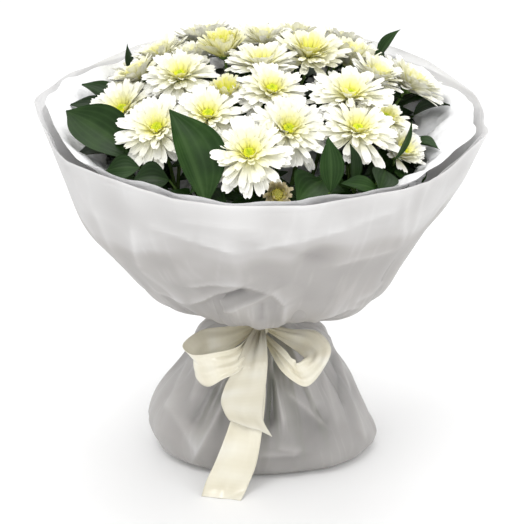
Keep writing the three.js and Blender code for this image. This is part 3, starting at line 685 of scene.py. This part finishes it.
def crumple(points, scale, seed):
    """Sharp random creases, as in crushed tissue, one number a point."""
    shift = Vector((seed, -seed, 2 * seed))
    flat = points.reshape(-1, 3)
    values = [noise.ridged_multi_fractal(Vector(p) * scale + shift, *RIDGES) for p in flat]
    return np.array(values).reshape(points.shape[:-1])


# How far the tissue puffs inwards, the row where it puffs most, how fast that fades further down, how far it
# stays from what it meets, and how much further it looks for that
PUFF, PUFF_PEAK, PUFF_FLANK, PUFF_CLEAR, PUFF_LOOK = 48, 0.86, 0.2, 3.0, 12
CRUSHED_FROM, CRUSHED_FULL, CRUSHED_RIM = 150, 60, 0.05


def tissue_rim(degrees):
    rim = 0.992 + 0.004 * bump(degrees, *FRONT) - 0.02 * bump(degrees, *BACK)
    return rim + 0.004 * np.sin(np.radians(9 * degrees) + 1) + 0.003 * np.sin(np.radians(23 * degrees))


def blurred(values, rounds):
    """Values of a grid that is closed round the wrap, each round averaged with its neighbours."""
    for _ in range(rounds):
        values = (np.roll(values, 1, 1) + 2 * values + np.roll(values, -1, 1)) / 4
        edged = np.concatenate([values[:1], values, values[-1:]])
        values = (edged[:-2] + 2 * values + edged[2:]) / 4
    return values


def make_tissue(grid, row, degrees, inside):
    """The tissue, crushed, and puffed inwards below its rim as far as the leaves and flowers let it."""
    rough = crumple(grid, 0.045, 3.0)
    lift = np.clip((grid[..., 2] - CRUSHED_FROM) / CRUSHED_FULL, 0, 1)
    crushed = np.clip(lift * (rough - rough.mean()) * 2.2 + 1.2 * lift, 0, 6)
    crushed *= np.clip((1 - row) / CRUSHED_RIM, 0.15, 1)
    inwards = -normals_of(grid)
    sides = 0.35 + 0.65 * np.abs(np.cos(np.radians(degrees + 12)))
    waves = 0.8 + 0.2 * np.sin(np.radians(7 * degrees)) * np.sin(np.radians(17 * degrees) + 1)
    puff = PUFF * sides * waves * hump(np.minimum(row - PUFF_PEAK, 0), 0, PUFF_FLANK)
    puff = puff * np.clip((1 - row) / (1 - PUFF_PEAK), 0, 1) ** 0.7
    room = np.full(puff.shape, 99.0)
    for i, j in np.argwhere(puff > 2):
        hit = inside.ray_cast(Vector(grid[i, j]), Vector(inwards[i, j]), PUFF + PUFF_LOOK)[3]
        if hit is not None:
            room[i, j] = hit
    for _ in range(2):
        room = np.minimum(np.minimum(np.roll(room, 1, 1), np.roll(room, -1, 1)), room)
        room[1:] = np.minimum(room[1:], room[:-1])
        room[:-1] = np.minimum(room[:-1], room[1:])
    puff = blurred(np.minimum(puff, np.maximum(room - PUFF_CLEAR, 0)), 5)
    parts = Parts()
    parts.add(grid + inwards * (crushed * (1 + 0.03 * puff) + puff)[..., None], closed=True)
    obj = parts.piece("tissue_sheet", TISSUE, "tissue", "tissue")


# The ribbon: how each run is cupped, rippled and tinted, and pairs of points of its edges from the knot on

BOW_RUNS = {
    "left_loop": (-2.0, 1.3, 1.0, [
        (-6, -34, 137, -4, -36, 130), (-31, -44, 137, -33, -54, 114), (-53, -50, 136, -50, -60, 107),
        (-69, -74, 133, -56, -84, 101), (-62, -88, 129, -48, -98, 102), (-41, -93, 133, -35, -104, 112),
        (-20, -80, 134, -16, -92, 119), (-4, -36, 135, 0, -38, 127),
    ]),
    "right_loop": (1.6, 1.3, 1.0, [
        (1, -34, 137, 1, -36, 131), (24, -44, 136, 18, -52, 126), (48, -55, 138, 32, -68, 122),
        (61, -70, 128, 37, -80, 122), (55, -84, 114, 36, -90, 125), (38, -96, 102, 29, -93, 124),
        (19, -93, 115, 23, -87, 131), (4, -42, 122.5, 3, -40, 128.5),
    ]),
    # The front tail's lower tint is painted shade, where it hangs turned under the loops, and partly its
    # duller back side
    "front_tail": (1.4, 1.4, 0.84, [
        (-6, -35, 132, 2, -35, 132), (-14, -70, 131, 4, -68, 134), (-23, -93, 121, 5, -90, 124),
        (-32, -99, 105, 4, -97, 110), (-36, -100, 90, 2, -100, 93), (-33, -101, 78, 1, -101, 72),
        (-29, -101, 71, 9, -102, 56),
    ]),
    "long_tail": (1.0, 0.9, 1.0, [
        (-6, -34, 127, 1, -34, 127), (-16, -82, 116, 3, -82, 116), (-22, -91, 88, 3, -91, 88),
        (-30, -97, 62, 0, -97, 58), (-41, -101, 32, -5, -101, 28), (-50, -104, 12, -13, -107, 9),
        (-54, -109, 0.7, -19, -117, 0.7),
    ]),
}


RIBBON_ROWS, RIBBON_COLS, RIBBON_THICK, RIBBON_FULL = 90, 17, 0.0004, 30
# The share of a run, from each end, over which a loop shows its inner side, which gets a painted shade,
# warmer and yellower
INNER_FIRST, INNER_LAST = 0.22, 0.2
BAND_SIDES, BAND_ROWS, BAND_OUT, BAND_RUN = 96, 13, 0.9, 0.16
KNOT_SIDES, KNOT_ROWS, KNOT_R, KNOT_LOW, KNOT_HEIGHT, KNOT_FRONT = 40, 15, 8.7, 127, 12.3, -34.6


def ribbon_grid(pairs, cup, ripple):
    along = np.linspace(0, 1, RIBBON_ROWS)[:, None]
    across = np.linspace(-1, 1, RIBBON_COLS)[None]
    edges = through(np.reshape(pairs, (-1, 2, 3)), along)
    a, b = edges[..., 0, :], edges[..., 1, :]
    grid = a + (b - a) * ((across + 1) / 2)[..., None]
    width = norm(b - a)
    gathered = np.clip(1.5 - width / RIBBON_FULL, 0.12, 1)
    lift = cup * (1 - across ** 2) * width / RIBBON_FULL
    lift = lift + ripple * gathered * np.sin(9 * across + 2 * np.sin(5 * along))
    wave = 0.5 * np.sin(3 * across + 14 * along) + 1.3 * np.sin(4 * across + 4 * along + cup)
    grid = grid + normals_of(grid, closed=False) * (lift + wave)[..., None]
    grid[..., 2] = np.maximum(grid[..., 2], 0.5)
    return grid, along, across


def add_band(parts):
    """The ribbon's turns round the neck."""
    degrees = np.arange(BAND_SIDES) * 360 / BAND_SIDES
    height = np.linspace(NECK_LOW, NECK_HIGH, BAND_ROWS)[:, None]
    c, s = bearing(degrees)
    ridges = 0.45 * np.sin(5.2 * (height - NECK_LOW) + 2 * np.sin(np.radians(3 * degrees)))
    radius = NECK_R * pleat(degrees, NECK_R, height) + BAND_OUT + ridges
    band = np.stack([radius * c, radius * s, np.broadcast_to(height, radius.shape)], -1)
    across = (height - NECK_MIDDLE) / (NECK_HIGH - NECK_LOW)
    parts.add(band, closed=True, across=across, along=(degrees / 360 * BAND_RUN)[None], tint=1.0)


def add_knot(parts):
    turn = np.arange(KNOT_SIDES) * 360 / KNOT_SIDES
    c, s = bearing(turn)
    up = np.linspace(0, 1, KNOT_ROWS)[:, None]
    wide = KNOT_R * np.sin(np.pi * (0.12 + 0.76 * up)) ** 0.5 * (1 + 0.05 * np.sin(np.radians(turn * 5)))
    front = KNOT_FRONT - 1.6 * (1 - up)
    knot = np.stack([-1 + wide * c, front + wide * 0.92 * s, KNOT_LOW + KNOT_HEIGHT * up + 0 * c], -1)
    parts.add(knot, closed=True, across=turn[None] / 360, along=up * 0.02, tint=1.0)


def make_ribbon():
    parts = Parts("across", "along", "inner", "tint")
    for name, (cup, ripple, tint, pairs) in BOW_RUNS.items():
        grid, along, across = ribbon_grid(pairs, cup, ripple)
        inner = np.clip(1 - along / INNER_FIRST, 0, 1)
        if name.endswith("loop"):
            inner = inner + np.clip((along - (1 - INNER_LAST)) / INNER_LAST, 0, 1)
        parts.add(grid, across=across * 0.5, along=along * len(pairs) * 0.03, inner=inner, tint=tint)
    add_band(parts)
    add_knot(parts)
    obj = parts.piece("satin_ribbon", SATIN, "ribbon", "ribbon")
    thick = obj.modifiers.new("thickness", "SOLIDIFY")
    thick.thickness = RIBBON_THICK
    thick.offset = 0


# Stems and leaves

FLOOR_Z, STEM_R, TWIST = 2.3, 2.3, 0.16
SPRAYS = [
    [7, 9, 10, 12, 13, 22], [0, 3, 4, 26], [2, 6, 24, 25], [11, 17, 19, 31], [16, 20, 29, 30],
    [15, 21, 27, 28], [14, 18, 23, 32], [1, 5, 8],
]
FORK_DROP, FORK_INWARD, SPRAY_RING, SPRAY_START, SPRAY_SPLAY = 78, 0.8, 7.4, -95, (34, 26)
LEAF_RING, LEAF_START, LEAF_SPLAY, KNEE_INWARD = 13.6, -140, (64, 47), 0.62
LEAF_SCALES = [1, 0.85, 0.7, 0.55]
LEAF_LIFTS = [0, -7, 7, -14, 14, -22]

# Each leafy stem's top, and its leaves: place of the base and of the tip, width and roll
LEAFY = [
    ((-98, -72, 285), [
        (-106, -90, 314, -171, -20, 338, 46, 10), (-103, -112, 312, -136, -112, 308, 22, -15),
        (-110, -40, 300, -168, -62, 318, 36, 0),
    ]),
    ((-58, -112, 278), [(-47, -142, 290, -78, -98, 359, 50, 12), (-78, -126, 306, -112, -136, 308, 30, 0)]),
    ((26, -112, 275), [
        (57, -145, 302, 55, -131, 346, 22, 0), (50, -125, 305, 29, -154, 297, 38, 0),
        (0, -120, 298, -14, -150, 294, 26, 0),
    ]),
    ((86, -92, 278), [
        (98, -130, 298, 66, -142, 309, 17, 0), (104, -108, 308, 100, -138, 299, 25, 0),
        (76, -124, 300, 74, -114, 334, 17, 25),
    ]),
    ((112, -38, 285), [
        (112, -104, 316, 127, -86, 345, 9, 40), (112, -92, 312, 138, -94, 318, 24, 0),
        (122, -30, 314, 154, -44, 326, 30, 0),
    ]),
    ((106, 88, 282), [
        (106, 114, 334, 128, 127, 361, 17, 50), (136, 44, 308, 168, 38, 324, 34, 0),
        (124, 66, 312, 158, 78, 326, 34, 0),
    ]),
    ((62, 100, 285), [
        (76, 138, 315, 92, 158, 328, 30, 0), (100, 126, 312, 122, 142, 328, 32, 0),
        (38, 142, 310, 44, 172, 322, 30, 0),
    ]),
    ((-10, 112, 285), [(-4, 146, 310, -2, 174, 326, 32, 0), (-46, 140, 310, -50, 168, 326, 32, 0)]),
    ((-86, 84, 285), [
        (-106, 66, 330, -122, 82, 362, 16, 0), (-98, 120, 312, -112, 142, 328, 32, 0),
        (-122, 76, 312, -150, 92, 326, 32, 0),
    ]),
    ((-112, 8, 285), [(-132, 14, 314, -170, 22, 330, 36, 0), (-128, 44, 312, -162, 58, 330, 32, 0)]),
]

# The share of a stem's way from floor to neck over which it runs straight
STEM_PART = 0.6


def bundle_path(place, ring, splay, knee, top):
    """A stem's path from the floor through the neck, where the stems stand in a ring, to its top."""
    def at(height, wide, deep):
        c, s = bearing(place + TWIST * (height - NECK_LOW))
        return (wide * c, deep * s, height)

    under, over = NECK_LOW - 6, NECK_HIGH + 6
    wide, deep = (size + STEM_PART * (ring - size) for size in splay)
    return [
        at(FLOOR_Z, *splay), at(FLOOR_Z + STEM_PART * (under - FLOOR_Z), wide, deep),
        at(under, ring, ring), at(over, ring, ring), *knee, top,
    ]


def smooth_path(points, count):
    points = np.asarray(points, float)
    run = np.concatenate([[0], np.cumsum(norm(np.diff(points, axis=0)))])
    even = np.stack([np.interp(np.linspace(0, run[-1], 40), run, points[:, k]) for k in range(3)], -1)
    for _ in range(6):
        even[1:-1] = (even[:-2] + 2 * even[1:-1] + even[2:]) / 4
    return through(even, np.linspace(0, 1, count))


def add_stalk(parts, points, count, radii, sides=8, **looks):
    """A tapered round stalk along the smoothed points; its line is returned."""
    line = smooth_path(points, count)
    parts.add(tube(line, np.linspace(*radii, count), sides), closed=True, **looks)
    return line


def node_points(name):
    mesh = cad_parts[name].data
    points = np.zeros(len(mesh.vertices) * 3, np.float32)
    mesh.vertices.foreach_get("co", points)
    return points.reshape(-1, 3).astype(float) / MM


def settled_leaf(ends, node):
    """The size and tilt at which the leaf's solid stands: the one whose tip is a corner of the solid."""
    base, tip = np.reshape(ends, (2, 3)).astype(float)
    fits = []
    for scale in LEAF_SCALES:
        for lift in LEAF_LIFTS:
            end = base + (tip - base) * scale + [0, 0, lift]
            miss = norm(node - end).min()
            fits.append((miss, scale, base + [0, 0, lift * 0.5], end))
    return min(fits, key=lambda fit: fit[0])[1:]


LEAF_OUTLINE = [0.04, 0.42, 0.72, 0.93, 1.0, 0.97, 0.83, 0.58, 0.28, 0.02]
LEAF_LOOKS = ("across", "rib", "woody", "tint")


def leaf_grid(base, tip, width, roll, rows=22, cols=11, droop=0.0, sides=(1.0, 1.0)):
    run = tip - base
    length = norm(run)
    ahead = run / length
    outward = unit(np.array([base[0], base[1], 0.0])) * 0.6 + [0, 0, 0.8]
    up = unit(outward - ahead * (outward @ ahead))
    c, s = math.cos(math.radians(roll)), math.sin(math.radians(roll))
    up = up * c + np.cross(ahead, up) * s
    across = np.cross(ahead, up)
    along = np.linspace(0, 1, rows)[:, None]
    side = np.linspace(-1, 1, cols)[None, :]
    half = through(LEAF_OUTLINE, along) * width / 2 * np.where(side < 0, sides[0], sides[1])
    rise = 0.3 * length * along * (1 - along) + 0.16 * half * 2 * np.abs(side) ** 1.5
    rise = rise + 0.035 * width * np.sin(7 * along + 2.5 * side) * along * np.abs(side)
    rise = rise - droop * length * along ** 3
    grid = base + run * along[..., None] + across * (side * half)[..., None] + up * rise[..., None]
    return grid, along, side


def add_leaf(parts, leaf, rib_width, tint):
    """Adds a leaf, and returns the coarse grid with which others are tested against it."""
    grid, along, side = leaf
    parts.add(grid, across=side, rib=hump(side, 0, rib_width) * (1 - 0.7 * along), tint=tint)
    return grid[::3, ::2]


# The tall leaf in front, by its stem and width, and the shares of width of its left and right halves: the
# left is narrow, as on a half folded leaf
TALL_LEAF, TALL_LEAF_HALVES = (1, 50), (0.42, 1.2)
# The rows of the wrap above its neck, and the height above which leaves may stand out over the rim
COLLAR_ROWS, ABOVE_RIM = WRAP[10:], 340


def drawn_in(tip, share):
    """The tip moved in to that share of the wrap's width and depth, unless it stands above the rim."""
    if tip[2] > ABOVE_RIM:
        return tip
    widths, depths, heights = zip(*COLLAR_ROWS)
    wide, deep = np.interp(tip[2], heights, widths), np.interp(tip[2], heights, depths)
    tip[:2] *= min(1.0, share / math.hypot(tip[0] / wide, tip[1] / deep))
    return tip


LEAFY_NAME = "leafy_stem_{:02d}"


def make_leafy(order):
    """A leafy stem with the leaves that its solid has, as parts to be finished, and their coarse grids."""
    node = node_points(LEAFY_NAME.format(order + 1))
    top, leaves = LEAFY[order]
    parts = Parts(*LEAF_LOOKS)
    knee = (top[0] * KNEE_INWARD, top[1] * KNEE_INWARD, (NECK_HIGH + top[2]) / 2)
    path = bundle_path(LEAF_START + 360 * order / len(LEAFY), LEAF_RING, LEAF_SPLAY, [knee], top)
    add_stalk(parts, path, 60, (2.3, 1.7), woody=0.8, tint=rng.uniform(0.8, 1.15))
    grids = []
    for *ends, width, roll in leaves:
        scale, start, end = settled_leaf(ends, node)
        halves = TALL_LEAF_HALVES if (order, width) == TALL_LEAF else (1.0, 1.0)
        leaf = leaf_grid(start, drawn_in(end, 0.9), width * scale, roll, sides=halves)
        tint = rng.uniform(0.75, 1.5)
        grids.append(add_leaf(parts, leaf, 0.07, tint))
        stem = np.array(top, float) - [0, 0, 1]
        stalk = [stem, stem + (start - stem) * 0.6 - [0, 0, 2], start]
        add_stalk(parts, stalk, 14, (1.5, 0.8), 6, woody=0.6, tint=tint)
    return parts, grids


# How many smaller leaves a leafy stem gets, how many are tried, and how far one reaches
UNDER_LEAVES, UNDER_TRIES, UNDER_REACH = 11, 90, 30


def finish_leafy(order, parts, blockers):
    """The smaller leaves round the top of a leafy stem, wherever they are clear of what is there."""
    top = np.array(LEAFY[order][0])
    outward = math.degrees(math.atan2(top[1], top[0]))
    made = []
    for _ in range(UNDER_TRIES):
        c, s = bearing(outward + rng.normal(0, 65))
        base = top + np.array([c, s, 0]) * rng.uniform(2, 18) + [0, 0, rng.uniform(-22, 14)]
        size = rng.uniform(28, 46)
        tip = drawn_in(base + [c * size, s * size, rng.uniform(2, 20)], 0.8)
        leaf = leaf_grid(base, tip, rng.uniform(20, 30), rng.normal(0, 22), 14, 9, 0.1)
        tint = rng.uniform(0.6, 1.4)
        own = tree_of([leaf[0][::3, ::2]])
        middle = leaf[0].reshape(-1, 3).mean(0)
        near = near_by(blockers, middle, UNDER_REACH)
        if len(made) == UNDER_LEAVES or any(own.overlap(tree) for tree in near):
            continue
        made.append(add_leaf(parts, leaf, 0.08, tint))
        stalk = [top - [0, 0, 14], (top + base) / 2 - [0, 0, 5], base]
        add_stalk(parts, stalk, 10, (1.2, 0.7), 5, woody=0.6, tint=tint)
        blockers.append((middle, UNDER_REACH, own))
    name = LEAFY_NAME.format(order + 1)
    parts.piece(f"{name}_leaves", LEAF, name, "leaf")
    return made


# Flowers

DOME_TOP, DOME_BACK, DOME_FALL, EYE_DEPTH = 380, 20, 0.0024, 10
# Each flower: place in plan, rise over the dome, width, nod, bearing it nods to, how far open
FLOWERS = [
    (-11, -128, 5, 74, 39, -95, 1), (-90, -84, 5, 72, 36, -110, 1), (82, -87, 4, 73, 24, -60, 1),
    (23, -101, 1, 70, 36, -75, 1), (-46, -80, 0, 67, 28, -95, 1), (-123, -22, -4, 70, 30, -125, 1),
    (76, -46, 2, 76, 20, -80, 1), (9, -55, -1, 66, 25, -70, 1), (-72, -12, -1, 70, 20, -105, 1),
    (-30, -49, -7, 44, 18, -90, 0.3), (0, -10, -3, 66, 8, -90, 0.8), (134, 40, 4, 70, 34, 10, 0.8),
    (42, 12, 2, 70, 14, -70, 0.8), (-34, 16, 3, 56, 6, 180, 0.35), (-92, 62, 4, 62, 20, 160, 0.9),
    (-52, 92, 4, 66, 16, 115, 0.8), (30, 94, 1, 66, 14, 85, 0.9), (80, 54, -4, 62, 16, 20, 0.5),
    (-112, 25, 3, 62, 26, 175, 0.9), (102, 12, 1, 58, 20, -10, 0.7), (70, 96, 2, 66, 20, 60, 0.8),
    (-12, 98, -3, 62, 12, 95, 0.8), (2, 48, 0, 64, 4, 90, 0.8), (-63, 35, -5, 50, 10, 150, 0.5),
    (108, -45, -6, 62, 30, -25, 1), (121, -76, -6, 48, 42, -40, 0.5), (13, -150, -8, 34, 75, -80, 0.1),
    (-74, 132, 0, 64, 32, 122, 1), (-29, 144, -2, 66, 32, 103, 1), (20, 146, -2, 66, 33, 80, 1),
    (66, 142, -1, 64, 34, 62, 1), (124, 80, -2, 62, 32, 35, 0.9), (-115, 96, -4, 60, 32, 140, 0.9),
]
# Each layer: petals, reach, rise, bend, width as a share of the reach, height and radius of the root, warmth
LAYERS = [
    (13, 1.00, 4, 12, 0.27, 0.0, 5.0, 0.00), (14, 0.99, 13, 18, 0.25, 1.0, 4.9, 0.01),
    (14, 0.92, 22, 24, 0.225, 2.0, 4.8, 0.03), (14, 0.82, 32, 28, 0.205, 3.0, 4.7, 0.07),
    (14, 0.70, 42, 30, 0.19, 4.0, 4.7, 0.13), (13, 0.57, 51, 28, 0.175, 4.8, 4.7, 0.20),
    (12, 0.44, 59, 22, 0.16, 5.4, 4.8, 0.28), (11, 0.32, 67, 12, 0.15, 5.8, 4.9, 0.36),
]
# The flowers that are greener than the rest, by order
WARMER = {9: 0.24, 13: 0.26, 12: 0.10, 17: 0.12, 18: 0.04, 14: 0.05, 26: 0.2}
# Up to how far open a flower is a bud, or half shut, and how much of its width the shut petals then show
BUD, HALF_SHUT, SHUT_WIDTH = 0.2, 0.6, 0.55
# Petals of flowers at the back stand up by as many degrees more
BACK_LIFT, BACK_FROM, BACK_FULL = 12, 30, 50
TESTED_LAYERS = 4
# What a petal in the way of something tries, in turn: a share of its length, and degrees further up
SHIFTS = [
    (1, 0), (1, 8), (1, -7), (0.94, 14), (0.88, 4), (0.86, 22), (0.76, 10), (0.74, 32), (0.62, 20),
    (0.5, 44),
]
# A petal's rows from root to tip, its half width at each, and its places across
PETAL_ROWS, PETAL_SIDES = np.array([0, 0.18, 0.38, 0.58, 0.75, 0.88, 0.96, 1.0]), np.linspace(-1, 1, 5)
PETAL = (PETAL_ROWS, np.array([0.30, 0.45, 0.68, 0.90, 1.0, 0.92, 0.70, 0.36]), PETAL_SIDES)
TEST_PETAL = (np.array([0.35, 0.7, 1.0]), np.array([0.7, 1.0, 0.5]), np.linspace(-1, 1, 3))
NOTCH = 0.05
# A flower's eye: florets on a spiral, as radius and height of a floret's rings
EYE_FLORETS, EYE_R, SPIRAL_TURN, FLORET_R, FLORET_SIDES = 46, 4.6, 137.508, 0.78, 6
FLORET = np.array([(1.0, 0.0), (0.95, 1.3), (0.55, 2.0), (0.05, 2.2)])


def flower_frame(spec):
    """The way a flower faces, its two sides and its seat below the eye."""
    x, y, rise, _, nod, to, _ = spec
    c, s = bearing(to)
    up, out = bearing(nod)
    facing = np.array([out * c, out * s, up])
    eye = np.array([x, y, DOME_TOP - DOME_FALL * (x * x + (y - DOME_BACK) ** 2) + rise])
    side = unit(np.cross([0.0, 0.0, 1.0], facing))
    return facing, side, np.cross(facing, side), eye - EYE_DEPTH * facing


def petal_grid(where, turn, foot, size, rise, curve, outline):
    """One petal as a grid of points, from its foot on a ring round the flower's axis to its tip."""
    facing, side, front, seat = where
    ring, root = foot
    length, width = size
    bend, cup, roll = curve
    rows, half, sides = outline
    angle = np.radians(rise - bend * rows)
    gap = np.diff(rows, prepend=0) * length
    out = ring + np.cumsum(gap * np.cos(angle))
    up = root + np.cumsum(gap * np.sin(angle))
    w = half * width / 2
    lateral = sides[None] * w[:, None]
    dent = NOTCH * length * rows[:, None] ** 6 * (1 - sides[None] ** 2)
    hollow = cup * w[:, None] * sides[None] ** 2 + math.tan(math.radians(roll)) * lateral
    out = out[:, None] - hollow * np.sin(angle)[:, None] - dent
    up = up[:, None] + hollow * np.cos(angle)[:, None]
    c, s = bearing(turn)
    outwards = side * (out * c - lateral * s)[..., None] + front * (out * s + lateral * c)[..., None]
    return seat + facing * up[..., None] + outwards


def clear_petal(near, turn, foot, size, rise, curve, where):
    """The first of the shifts that keeps a petal clear of what is near, or else the one that hits least."""
    best = None
    for share, more in SHIFTS:
        test = petal_grid(where, turn, foot, (size[0] * share, size[1]), rise + more, curve, TEST_PETAL)
        own = tree_of([test])
        hits = sum(len(own.overlap(tree)) for tree in near)
        if best is None or hits < best[0]:
            best = (hits, share, more, test)
        if hits == 0:
            break
    return best[1:]


def add_eye(parts, where, shade, stain):
    facing, side, front, seat = where
    i = np.arange(EYE_FLORETS)
    away = EYE_R * np.sqrt((i + 0.5) / EYE_FLORETS)
    c, s = bearing(np.arange(FLORET_SIDES) * 360 / FLORET_SIDES)
    ca, sa = bearing(i * SPIRAL_TURN)
    low = EYE_DEPTH - 1.4 - 0.06 * away ** 2
    for n in range(EYE_FLORETS):
        size = FLORET_R * (0.8 + 0.25 * rng.random())
        x = away[n] * ca[n] + size * FLORET[:, :1] * c[None]
        y = away[n] * sa[n] + size * FLORET[:, :1] * s[None]
        z = low[n] + FLORET[:, 1:] * (0.7 + 0.5 * rng.random()) + 0 * c[None]
        grid = seat + side * x[..., None] + front * y[..., None] + facing * z[..., None]
        green = 0.74 + 0.24 * (1 - away[n] / EYE_R) + rng.normal(0, 0.03)
        parts.add(grid, closed=True, warm=np.clip(green, 0, 1), tint=shade, stain=stain)


def make_flower(order, blockers):
    """blockers are what the petals give way to; a flower's seat, reach and tested petals are returned."""
    _, y, _, across, _, _, open_ = FLOWERS[order]
    where = flower_frame(FLOWERS[order])
    facing, seat = where[0], where[3]
    name = f"flower_{order + 1:02d}"
    local = node_points(name) - seat
    high = local @ facing
    radial = norm(local - high[:, None] * facing)
    reach = min(across / 2 - 2.2, radial.max() / (1 if open_ > HALF_SHUT else SHUT_WIDTH) - 2.0)
    close = 1 - open_
    upright = BACK_LIFT * float(np.clip((y - BACK_FROM) / BACK_FULL, 0, 1))
    near = near_by(blockers, seat, reach + 12)
    parts = Parts("warm", "across", "tint", "stain")
    coarse = []
    spin = rng.uniform(0, 360)
    shade = rng.uniform(0.95, 1.02)
    stain = 0.55 if open_ < BUD else 0.0
    for k, (count, far, rise, bend, wide, root, ring, warm) in enumerate(LAYERS):
        full = reach * (far + (0.9 - far) * close * 0.5)
        raised = rise + (76 - rise) * close * 0.85 + upright
        heat = warm + 0.34 * (1 - PETAL_ROWS) ** 1.5 + WARMER.get(order, 0)
        for i in range(count):
            turn = spin + (i + 0.5 * (k % 2) + 0.21 * k) * 360 / count + rng.uniform(-6, 6)
            length = full * rng.uniform(0.82, 1.06)
            lift = rng.normal(0, 5.5)
            width = reach * wide * rng.uniform(0.84, 1.12)
            curl = bend * (1 - 1.4 * close) + rng.normal(0, 9)
            cup = 0.20 + 0.035 * k + rng.uniform(-0.08, 0.12)
            curve = (curl, cup, rng.normal(0, 10))
            if k < TESTED_LAYERS:
                share, more, test = clear_petal(
                    near, turn, (ring, root), (length, width), raised + lift, curve, where,
                )
                length *= share
                lift += more
                coarse.append(test)
            grid = petal_grid(where, turn, (ring, root), (length, width), raised + lift, curve, PETAL)
            warmth = np.clip(heat + rng.normal(0, 0.015), 0, 0.8)[:, None]
            tint = shade * rng.uniform(0.95, 1.03)
            parts.add(grid, warm=warmth, across=PETAL_SIDES[None], tint=tint, stain=stain)
    add_eye(parts, where, shade, stain)
    parts.piece(f"{name}_bloom", BLOOM, name, "petal")
    return seat, reach + 6, coarse


# The shares of a twig's length at which it bears leaves
TWIG_LEAVES = [0.12, 0.3, 0.45, 0.6, 0.72, 0.84]
# The green cup under a flower or bud: how far its rings lie below the seat, and how wide it is
CUP_DOWN, CUP_R, BUD_CUP_R = np.array([4.6, 3.4, 2.2, 1.0, -0.2, -0.6]), 6.0, 4.0


def make_spray(order, frames):
    """A flowering stem with its twigs, the green cup under each flower and the leaves below the flowers."""
    members = SPRAYS[order]
    centre = np.mean([frames[m][3] for m in members], axis=0)
    fork = np.array([centre[0] * FORK_INWARD, centre[1] * FORK_INWARD, centre[2] - FORK_DROP])
    if order == 0:
        path = bundle_path(0, 0, (0, 0), [], tuple(fork))
    else:
        place = SPRAY_START + 360 * (order - 1) / (len(SPRAYS) - 1)
        path = bundle_path(place, SPRAY_RING, SPRAY_SPLAY, [], tuple(fork))
    parts = Parts(*LEAF_LOOKS)
    blades = []
    add_stalk(parts, path, 50, (2.4, 2.1), tint=1.0, woody=0.9)
    for m in members:
        facing, seat = frames[m][0], frames[m][3]
        low = seat - 24 * facing + (fork - seat + 24 * facing) * 0.25
        points = [fork - [0, 0, 3], low, seat - 8 * facing, seat - 3 * facing]
        twig = add_stalk(parts, points, 24, (1.7, 1.35), 7, tint=1.0, woody=0.9)
        for share in TWIG_LEAVES:
            root = through(twig, share)
            c, s = bearing(rng.uniform(0, 360))
            size = rng.uniform(24, 38)
            tip = drawn_in(root + [c * size, s * size, rng.uniform(2, 11)], 0.82)
            leaf = leaf_grid(root, tip, rng.uniform(15, 22), rng.uniform(-20, 20), 10, 7, 0.15)
            blades.append(add_leaf(parts, leaf, 0.1, rng.uniform(0.6, 1.3)))
        cup = BUD_CUP_R if FLOWERS[m][6] < BUD else CUP_R
        wide = np.array([1.3, 2.6, 0.72 * cup, 0.9 * cup, cup, cup * 0.5])
        parts.add(tube(seat - CUP_DOWN[:, None] * facing, wide, 12), closed=True, tint=1.0, woody=1.0)
    name = f"spray_stem_{order + 1}"
    parts.piece(f"{name}_twigs", LEAF, name, "stem")
    return blades


# The twine's turns round the stems, the points along it and its radius
TWINE_TURNS, TWINE_POINTS, TWINE_R = 4, 260, 0.85


def make_twine():
    parts = Parts("tint")
    c, s = bearing(np.linspace(0, TWINE_TURNS * 360, TWINE_POINTS))
    radius = LEAF_RING + STEM_R + 1.5
    line = np.stack([radius * c, radius * s, np.linspace(NECK_LOW + 1.9, NECK_LOW + 4.6, TWINE_POINTS)], -1)
    parts.add(tube(line, np.full(TWINE_POINTS, TWINE_R), 7), closed=True, tint=1.0)
    parts.piece("stem_twine", TWINE, "stem_tie", "twine")


# The pieces, inner ones first, because the outer ones give way to them

frames = [flower_frame(spec) for spec in FLOWERS]
make_twine()
tissue, *tissue_places = sheet_grid(2, NECK_SHARE, tissue_rim, TISSUE_FAN, 150, 380)
# What leaves and petals give way to: a middle, a reach and a search tree each, the tissue first
blockers = [(np.array([0, 0, 250.0]), 400, tree_of([tissue[::4, ::5]]))]
filling = []
leafy = [make_leafy(order) for order in range(len(LEAFY))]
for _, grids in leafy:
    for grid in grids:
        middle = grid.reshape(-1, 3).mean(0)
        far = norm(grid.reshape(-1, 3) - middle).max()
        blockers.append((middle, far, tree_of([grid])))
        filling.append(grid)
for order in range(len(FLOWERS)):
    seat, far, petals = make_flower(order, blockers)
    blockers.append((seat, far, tree_of(petals)))
    filling += petals
for order, (parts, _) in enumerate(leafy):
    filling += finish_leafy(order, parts, blockers)
for order in range(len(SPRAYS)):
    filling += make_spray(order, frames)
make_tissue(tissue, *tissue_places, tree_of(filling))
make_film_inner()
make_film_outer()
make_ribbon()

FLOOR_HALF = 9.0
floor_mesh = bpy.data.meshes.new("floor")
floor_corners = [(x * FLOOR_HALF, y * FLOOR_HALF, 0) for x, y in ((-1, -1), (1, -1), (1, 1), (-1, 1))]
floor_mesh.from_pydata(floor_corners, [], [(0, 1, 2, 3)])
floor_mesh.materials.append(floor_material())
floor = add_object("floor", floor_mesh)
